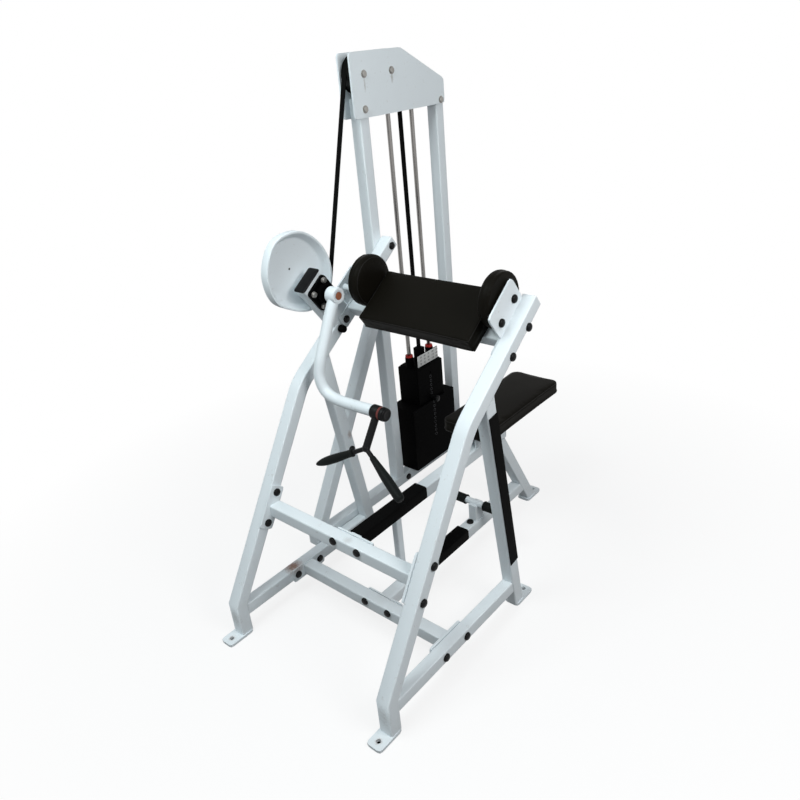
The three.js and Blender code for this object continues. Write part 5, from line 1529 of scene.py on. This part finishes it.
@dataclass
class SwivelHandle:
    """The handle that turns on the lever's spindle: a collar, a stem, two arms and their grips."""

    place: tuple[float, float, float] = (-5.0, 485.0, 749.0)
    tilt: float = -34.5
    stem: float = 117.0
    stem_radius: float = 12.4
    arm_radius: float = 7.0
    arm_reach: float = 178.0
    arm_fall: float = 105.0
    grip_start: float = 40.0

    def local(self, point: Point) -> Vector:
        """A point of the handle's own frame as a row point."""
        turn = Matrix.Rotation(math.radians(self.tilt), 3, "X")
        return spot(*(Vector(self.place) + turn @ Vector(point)))

    def heading(self, way: Point) -> Vector:
        """A direction of the handle's own frame as a row direction."""
        return Matrix.Rotation(math.radians(self.tilt), 3, "X") @ Vector(way)

    def build(self) -> None:
        """Makes the handle's pieces."""
        collar = [(11.4, 0.0), (21.0, 0.0), (22.6, 1.6), (22.6, 27.0), (21.8, 28.4), (21.0, 29.0), (11.4, 29.0)]
        base = self.local((-16.8, 0, 0))
        piece = turned("handle_collar", collar, base, ALONG_X, BLACK_ENAMEL, 56, bore=True)
        seat_piece(piece, "handle", "black_enamel", "swivel_handle")
        ring = [(11.4, 29.1), (20.9, 29.1), (21.6, 29.8), (21.6, 36.4), (20.9, 37.1), (11.4, 37.1)]
        piece = turned("handle_bush", ring, base, ALONG_X, BUSH_RED, 56, bore=True)
        seat_piece(piece, "handle", "black_rubber")
        sleeve = [(11.4, 37.2), (21.2, 37.2), (22.4, 38.5), (22.4, 48.6), (21.4, 50.2), (20.0, 50.8), (11.4, 50.8)]
        piece = turned("handle_end_sleeve", sleeve, base, ALONG_X, BLACK_ENAMEL, 56, bore=True)
        seat_piece(piece, "handle", "black_enamel")
        self.stem_and_arms()
        self.grips()

    def stem_and_arms(self) -> None:
        """Makes the stem and the one bent bar below it."""
        line = [self.local((0, 0, -14.0 - (self.stem - 14.0) * k / 8)) for k in range(9)]
        piece = TUBE_SWEEP.run("handle_stem", line_mesh(line), BLACK_ENAMEL, Radius=self.stem_radius * MM)
        seat_piece(piece, "handle", "black_enamel")
        knuckle = []
        for k in range(13):
            turn = math.pi * k / 12
            round_out = max(self.stem_radius * math.sin(turn) * 1.04, POLE)
            knuckle.append((round_out, -self.stem_radius * 1.1 * math.cos(turn)))
        foot = self.local((0, 0, -self.stem))
        piece = turned("handle_knuckle", knuckle, foot, self.heading(ALONG_X), BLACK_ENAMEL, 40)
        seat_piece(piece, "handle", "black_enamel")
        ways = Vector((self.arm_reach, 0, -self.arm_fall)).normalized()
        marks = []
        for reach in (-182.0, -120.0, -60.0, -22.0):
            marks.append(Vector((ways.x * reach, 0, -self.stem + ways.z * -reach)))
        marks.append(Vector((0, 0, -self.stem - 2.5)))
        marks += [Vector((-mark.x, 0, mark.z)) for mark in reversed(marks[:-1])]
        line = [self.local(point) for point in smooth_line(marks, 8)]
        piece = TUBE_SWEEP.run("handle_arms", line_mesh(line), BLACK_ENAMEL, Radius=(self.arm_radius + 0.6) * MM)
        seat_piece(piece, "handle", "black_enamel")

    def grips(self) -> None:
        """Makes the two grips: the left one ends in a point, the right one is rounded."""
        reach = math.hypot(self.arm_reach, self.arm_fall)
        start = self.grip_start
        mouth = [(7.9, start + 3.0), (7.9, start), (8.6, start), (9.6, start + 1.2)]
        rolled = [
            (7.9, start + 15.0), (7.9, start + 12.0), (11.5, start + 12.0),
            (13.6, start + 13.6), (13.4, start + 18.0), (12.4, start + 21.0),
        ]
        left = [
            (12.8, start + 44.0), (14.4, start + 70.0), (14.8, reach - 66.0), (14.2, reach - 44.0),
            (11.6, reach - 24.0), (8.0, reach - 10.0), (5.2, reach - 3.0), (3.4, reach - 0.6), (0.0, reach),
        ]
        right = [
            (11.0, start + 22.0), (13.4, start + 56.0), (15.2, start + 84.0), (15.6, reach - 40.0),
            (15.5, reach - 14.0), (14.8, reach - 3.0), (12.8, reach + 4.0), (9.0, reach + 7.2), (0.0, reach + 8.0),
        ]
        ends = ((Side.LEFT, rolled + left, "handle_grip_left"), (Side.RIGHT, mouth + right, "handle_grip_right"))
        for side, marks, node in ends:
            way = self.heading((side.value * self.arm_reach, 0, -self.arm_fall))
            profile = smooth_profile(marks)
            name = f"{side.name.lower()}_hand_grip"
            piece = turned(name, profile, self.local((0, 0, -self.stem)), way, GRIP_RUBBER, 40)
            seat_piece(piece, "handle", "black_rubber", node)


def smooth_profile(profile: Sequence[Pair]) -> list[Pair]:
    """A lathe profile passed through a smooth line.

    Args:
        profile: pairs of radius and height; the first three stay corners.

    Returns:
        The finer profile.
    """
    marks = [Vector((radius, height, 0)) for radius, height in profile]
    line = smooth_line(marks[3:], 5)
    return [tuple(mark.xy) for mark in marks[:3]] + [(max(point.x, 0.0), point.y) for point in line]


@dataclass
class FootPegs:
    """The grips on the foot peg."""

    place: tuple[float, float, float] = (42.0, 908.0, 180.0)
    tip: float = 154.0
    length: float = 114.0
    radius: float = 18.0
    bore: float = 13.2
    ribs: int = 30
    rib_pitch: float = 3.2

    def build(self) -> None:
        """Makes both grips with a rolled lip and fine ribs."""
        mouth, r = self.tip - self.length, self.radius
        for side in Side:
            profile = [
                (self.bore, mouth + 2.0), (self.bore, mouth), (r + 0.4, mouth),
                (r + 1.2, mouth + 1.5), (r + 1.0, mouth + 4.0), (r - 0.4, mouth + 6.0),
            ]
            for step in range(self.ribs):
                height = mouth + 8.0 + step * self.rib_pitch
                profile += [(r - 0.5, height), (r, height + 0.9), (r, height + 1.9), (r - 0.5, height + 2.7)]
            profile += [
                (r - 0.6, self.tip - 5.0), (r - 2.0, self.tip - 2.0), (r - 5.0, self.tip - 0.4), (0.0, self.tip),
            ]
            name = f"{side.name.lower()}_foot_grip"
            piece = turned(name, profile, spot(*self.place), ALONG_X * side.value, GRIP_RUBBER, 40)
            seat_piece(piece, "frame", "black_rubber", f"foot_peg_grip_{side.name.lower()}")


TOWER_X = -382.8125  # the middle of the tower, which the belts, the pulleys and the stack share
ROD_ROWS: Pair = (1080.0, 1207.5)  # the guide rods' places along Y, front and rear


@dataclass
class Tower:
    """The pulleys, the guide rods and the two belts."""

    x: float = TOWER_X
    pulley_z: float = 1683.0
    front_y: float = 947.995
    rear_y: float = 1084.95
    pulley_radius: float = 57.0
    belt_width: float = 20.0
    belt: float = 3.0
    belt_gap: float = 0.3
    belt_bottom: float = 646.8
    belt_top: float = 1682.7
    travel: float = 330.0
    rod_radius: float = 8.0
    rod_length: float = 1434.2
    rod_base: float = 138.75

    def build(self) -> None:
        """Makes the tower's moving and bright pieces."""
        for name, y in (("front_pulley", self.front_y), ("rear_pulley", self.rear_y)):
            self.pulley(name, y)
        r, top = self.rod_radius, self.rod_length
        profile = [(0.0, 0.0), (r - 0.6, 0.0), (r, 0.8), (r, top - 0.9), (r - 0.8, top), (0.0, top)]
        for name, y in zip(("guide_rod_front", "guide_rod_rear"), ROD_ROWS):
            piece = turned(name + "_bar", profile, spot(self.x, y, self.rod_base), UP, ROD_CHROME, 40)
            seat_piece(piece, "frame", "guide_rod_chrome", name)
        self.drive_belt()
        self.lift_belt()

    def pulley(self, node: str, y: float) -> None:
        """Makes one belt pulley with a webbed side and a rounded rim.

        Args:
            node: the CAD node that it stands for.
            y: its axle's place.
        """
        r, rim = self.pulley_radius, self.pulley_radius + 4.4
        half = [
            (6.7, 14.6), (17.0, 14.6), (18.0, 13.6), (19.0, 9.0), (48.0, 9.0), (51.0, 13.6),
            (52.0, 14.8), (rim - 1.0, 14.8), (rim, 13.9), (rim - 0.4, 12.4), (r, 11.6),
        ]
        profile = [(radius, -height) for radius, height in half] + half[::-1]
        axle = spot(self.x, y, self.pulley_z)
        piece = turned(node + "_wheel", profile, axle, ALONG_X, BLACK_ENAMEL, 64, bore=True)
        seat_piece(piece, node, "black_enamel", node)

    def drive_belt(self) -> None:
        """Carries the belt from the cam over both pulleys."""
        offset = self.belt_gap + self.belt / 2
        reach = self.pulley_radius + offset
        cam = CamAndLever()
        line = cam.outline(-offset)
        front = Vector((0, self.front_y, self.pulley_z))
        low, high = math.radians(-60), math.radians(30)
        for _ in range(50):
            turn = (low + high) / 2
            normal = Vector((0, math.cos(turn), math.sin(turn)))
            gap = max(point.dot(normal) for point in line) - (front.dot(normal) - reach)
            low, high = (turn, high) if gap > 0 else (low, turn)
        normal = Vector((0, math.cos(low), math.sin(low)))
        touch = max(range(len(line)), key=lambda k: line[k].dot(normal))
        points = cam.belt_line(offset, touch, 12)
        meet = front - normal * reach
        points += [points[-1].lerp(meet, k / 24) for k in range(1, 24)]
        rear = Vector((0, self.rear_y, self.pulley_z))
        for centre, start, end in ((front, low + math.pi, math.pi / 2), (rear, math.pi / 2, 0.0)):
            for step in range(17):
                turn = start + (end - start) * step / 16
                points.append(centre + Vector((0, math.cos(turn), math.sin(turn))) * reach)
        row = [spot(self.x, point.y, point.z) for point in points]
        self.sweep_belt("drive_belt_band", row, "drive_belt")

    def lift_belt(self) -> None:
        """Makes the straight belt from the rear pulley to the stack."""
        y = self.rear_y + self.pulley_radius + self.belt_gap + self.belt / 2
        length = self.belt_top - self.belt_bottom
        row = [spot(self.x, y, self.belt_bottom + length * k / 30) for k in range(31)]
        self.sweep_belt("lift_belt_band", row, "lift_belt")

    def sweep_belt(self, name: str, row: Sequence[Vector], node: str) -> None:
        """Makes a flat belt along a line across X.

        Args:
            name: the piece's name.
            row: the belt's middle line in row metres.
            node: the CAD node that it stands for.
        """
        half, thick = self.belt_width / 2 * MM, self.belt / 2 * MM
        section = ((-1, -0.7), (-0.93, -1), (0.93, -1), (1, -0.7), (1, 0.7), (0.93, 1), (-0.93, 1), (-1, 0.7))
        rings = []
        for before, here, after in zip([row[0]] + row[:-1], row, row[1:] + [row[-1]]):
            way = (after - before).normalized()
            out = Vector((0, way.z, -way.y))
            rings.append([here + ALONG_X * (u * half) + out * v * thick for u, v in section])
        points, faces = loft(rings)
        piece = seat_piece(mesh_object(name, points, faces, BLACK_BELT), "frame", "black_belt", node)
        if node == "lift_belt":
            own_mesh(piece)


@dataclass
class WeightStack:
    """The plates' and the head's finishes, the bare rims of the pin holes, the red rings and the label."""

    x: float = TOWER_X
    y: float = 1143.75
    pitch: float = 19.05
    bottom: float = 250.7
    wide: int = 9
    narrow: int = 6
    half_wide: float = 60.5
    half_narrow: float = 51.5
    half_head: float = 42.5
    core_height: float = 50.0
    collar_height: float = 40.2
    plate_gap: float = 0.3
    label_half: Pair = (65.0, 24.0)
    label_corner: float = 3.0
    label_rise: float = 25.0
    number_size: float = 11.5
    number_depth: float = 0.15
    first_number: Pair = (-50.0, 35.5)
    number_step: Pair = (24.5, -14.0)

    @property
    def core_top(self) -> float:
        """The height of the top of the head's solid block."""
        return self.bottom + (self.wide + self.narrow) * self.pitch + self.core_height

    def build(self) -> None:
        """Dresses the CAD plates and adds what they carry."""
        for k in range(self.wide):
            dress(f"lower_plate_{k + 1}", BLACK_CASTING)
        for k in range(self.narrow):
            dress(f"upper_plate_{k + 1}", BLACK_CASTING)
        for name in ("stack_head", "stack_pedestal"):
            dress(name, BLACK_CASTING)
        dress("selector_pin", BLACK_ENAMEL)
        self.pin_rings()
        self.head_rings()
        self.label()

    def pin_rings(self) -> None:
        """Puts a bare rim round each pin hole, one piece for each body."""
        profile = [(4.7, -0.3), (4.7, 0.35), (5.1, 0.5), (5.9, 0.3), (6.2, -0.3)]
        template = turned("pin_ring_one", profile, Vector(), UP, DULL_RING, 16, bore=True)
        lower = ("frame", 0, self.wide, self.half_wide)
        upper = ("stack", self.wide, self.narrow, self.half_narrow)
        for body, first, count, half in (lower, upper):
            places = []
            for k in range(first, first + count):
                z = self.bottom + k * self.pitch + (self.pitch - self.plate_gap) / 2
                places.append((spot(self.x + half, self.y, z), ALONG_X))
            piece = repeat(f"{body}_pin_rings", template, places, DULL_RING)
            seat_piece(piece, body, "black_casting")
        dispose(template)

    def head_rings(self) -> None:
        """Puts a red cushion ring round each guide rod on the head."""
        profile = [(8.9, 0.0), (14.2, 0.0), (15.4, 1.2), (15.6, 4.5), (15.0, 8.2), (13.2, 9.3), (8.9, 9.3)]
        for label, y in zip(("front", "rear"), ROD_ROWS):
            base = spot(self.x, y, self.core_top + self.collar_height)
            piece = turned(f"{label}_cushion_ring", profile, base, UP, RING_RED, 40, bore=True)
            seat_piece(piece, "stack", "black_rubber")

    def label(self) -> None:
        """Puts a white plate with plain numbers on the head's raised edge."""
        x = self.x + self.half_head + 0.1
        rings = []
        for grow, out in ((-0.6, 0.0), (0.0, 0.5), (0.0, 1.0), (-0.7, 1.4)):
            half_y, half_z = (half + grow for half in self.label_half)
            outline = rounded_rectangle(half_y, half_z, self.label_corner, 3)
            rings.append([spot(x + out, self.y + y, self.core_top + self.label_rise + z) for y, z in outline])
        points, faces = loft(rings)
        seat_piece(mesh_object("stack_label_plate", points, faces, LABEL_WHITE), "stack", "white_paint")
        rows = []
        for column in range(5):
            for line in range(3):
                number = 10 * (column * 3 + line + 1)
                y = self.y + self.first_number[0] + column * self.number_step[0]
                z = self.core_top + self.first_number[1] + line * self.number_step[1]
                rows.append((str(number), y, z))
        seat_piece(self.numbers(rows, x + 1.4), "stack", "black_enamel")

    def numbers(self, rows: Sequence[tuple[str, float, float]], x: float) -> bpy.types.Object:
        """Raised plain numbers that face +X.

        Args:
            rows: each number's text with its y and z.
            x: the face that they stand on.

        Returns:
            One object with all of them.
        """
        turn = Matrix(((0, 0, 1), (1, 0, 0), (0, 1, 0))).to_4x4()
        work = bmesh.new()
        for text, y, z in rows:
            curve = bpy.data.curves.new("number", "FONT")
            curve.body = text
            curve.size = self.number_size * MM
            curve.extrude = self.number_depth * MM
            curve.resolution_u = 3
            carrier = put("number", curve)
            mesh = evaluated_mesh(carrier)
            mesh.transform(Matrix.Translation(spot(x, y, z)) @ turn)
            work.from_mesh(mesh)
            bpy.data.objects.remove(carrier)
            bpy.data.meshes.remove(mesh)
        made = bpy.data.meshes.new("label_numbers")
        work.to_mesh(made)
        work.free()
        piece = put("label_numbers", made)
        clean(piece)
        made.materials.clear()
        made.materials.append(NUMBER_INK.material())
        return piece


@dataclass
class Studio:
    """The floor, the backdrop, the light and the camera."""

    eye: tuple[float, float, float] = (1.43276, -1.59812, 1.77190)
    right: tuple[float, float, float] = (0.758991, 0.645321, -0.086564)
    down: tuple[float, float, float] = (0.231564, -0.391797, -0.890434)
    ahead: tuple[float, float, float] = (-0.608532, 0.655786, -0.446803)
    lens: float = 32.3266
    sky: float = 0.45
    albedo: float = 0.1
    half_width: float = 12.0
    half_depth: float = 9.0
    floor_z: float = -0.0006
    backdrop_low: float = -0.5
    backdrop_top: float = 9.0

    def build(self) -> None:
        """Sets the whole studio up."""
        bpy.context.scene.view_settings.view_transform = "Standard"
        self.camera()
        self.world()
        self.lamps()
        self.ground()
        LOG.info("studio built")

    def camera(self) -> None:
        """Places the camera where the photograph was taken from."""
        data = bpy.data.cameras.new("camera")
        data.lens, data.sensor_width, data.sensor_fit = self.lens, 36.0, "HORIZONTAL"
        data.clip_end = 100.0
        made = put("camera", data)
        rows = (Vector(self.right), -Vector(self.down), -Vector(self.ahead))
        made.matrix_world = Matrix.Translation(self.eye) @ Matrix(rows).transposed().to_4x4()
        bpy.context.scene.camera = made

    def world(self) -> None:
        """A soft sky for the object, and plain white for the camera and in mirrors."""
        made = bpy.data.worlds.new("sky")
        made.use_nodes = True
        bpy.context.scene.world = made
        bench = Bench(made.node_tree)
        made.node_tree.nodes.clear()
        seen = bench.seen(-2)
        soft = bench.node("ShaderNodeBackground", 0, 1)
        soft.inputs["Color"].default_value = (0.93, 0.97, 1.0, 1.0)
        soft.inputs["Strength"].default_value = self.sky
        white = bench.node("ShaderNodeBackground", 0, 2)
        white.inputs["Color"].default_value = (1.0, 1.0, 1.0, 1.0)
        mix = bench.node("ShaderNodeMixShader", 1, 0)
        bench.link(seen, mix.inputs[0])
        bench.link(soft.outputs[0], mix.inputs[1])
        bench.link(white.outputs[0], mix.inputs[2])
        bench.link(mix.outputs[0], bench.node("ShaderNodeOutputWorld", 2, 0).inputs["Surface"])

    def lamps(self) -> None:
        """Two broad soft boxes, one above the front and one to the right."""
        for name, place, aim, size, power, colour in (
            ("front_box", (-0.1, -1.4, 2.9), (0.0, 0.0, 0.9), 1.2, 37.0, (0.9, 0.99, 1.0)),
            ("side_box", (2.3, -0.2, 2.3), (0.0, 0.1, 1.2), 1.3, 36.0, (1.0, 0.99, 0.985)),
        ):
            data = bpy.data.lights.new(name, "AREA")
            data.shape, data.size, data.energy, data.color = "DISK", size, power, colour
            made = put(name, data)
            made.location = place
            made.rotation_euler = (Vector(place) - Vector(aim)).to_track_quat("Z", "Y").to_euler()

    def ground(self) -> None:
        """A white floor that keeps the shadow, and a white backdrop behind it."""
        floor, backdrop = self.white("studio_floor_white", 0.8), self.white("studio_backdrop_white", 1.0)
        x, y, z, low, top = self.half_width, self.half_depth, self.floor_z, self.backdrop_low, self.backdrop_top
        for name, corners, finish in (
            ("studio_floor", ((-x, -y, z), (x, -y, z), (x, y, z), (-x, y, z)), floor),
            ("studio_backdrop", ((-x, y, low), (x, y, low), (x, y, top), (-x, y, top)), backdrop),
        ):
            mesh = bpy.data.meshes.new(name)
            mesh.from_pydata(corners, [], [(0, 1, 2, 3)])
            mesh.materials.append(finish)
            put(name, mesh)

    def white(self, name: str, glow: float) -> bpy.types.Material:
        """A matte studio surface that looks white from the camera and in mirrors.

        Args:
            name: the material's name.
            glow: how much of what is seen is plain white; the rest takes light and shadow.

        Returns:
            The material.
        """
        made = bpy.data.materials.new(name)
        made.use_nodes = True
        bench = Bench(made.node_tree)
        shader = made.node_tree.nodes["Principled BSDF"]
        shader.inputs["Roughness"].default_value = 0.9
        shader.inputs["Specular IOR Level"].default_value = 0.1
        seen = bench.seen(-4)
        # the object takes little light from the surface, however white the camera sees it
        colour = bench.blend(seen, (self.albedo,) * 3, (0.9,) * 3, -1, 1)
        bench.link(colour, shader.inputs["Base Color"])
        emission = bench.node("ShaderNodeEmission", 0, 2)
        emission.inputs["Strength"].default_value = 1.0
        # the plain white grows to all of it two metres out, so that the picture has no horizon
        place = bench.node("ShaderNodeTexCoord", -4, 3)
        reach = bench.node("ShaderNodeVectorMath", -3, 3, operation="LENGTH")
        bench.link(place.outputs["Object"], reach.inputs[0])
        grow = bench.node("ShaderNodeMapRange", -2, 3)
        for label, value in (("From Min", 0.8), ("From Max", 2.0), ("To Min", glow), ("To Max", 1.0)):
            grow.inputs[label].default_value = value
        bench.link(reach.outputs["Value"], grow.inputs["Value"])
        mix = bench.node("ShaderNodeMixShader", 1, 0)
        bench.link(bench.maths("MULTIPLY", seen, grow.outputs["Result"], -1, 0), mix.inputs[0])
        bench.link(shader.outputs[0], mix.inputs[1])
        bench.link(emission.outputs[0], mix.inputs[2])
        bench.link(mix.outputs[0], made.node_tree.nodes["Material Output"].inputs["Surface"])
        return made


def main() -> None:
    """Builds every sub-assembly in order."""
    logging.basicConfig(level=logging.INFO, format="%(message)s")
    Studio().build()
    for assembly in (
        PaintedFrame(), Fasteners(), Upholstery(), CamAndLever(), SwivelHandle(), FootPegs(), Tower(), WeightStack(),
    ):
        assembly.build()
    bpy.context.view_layer.update()


if __name__ == "__main__":
    main()
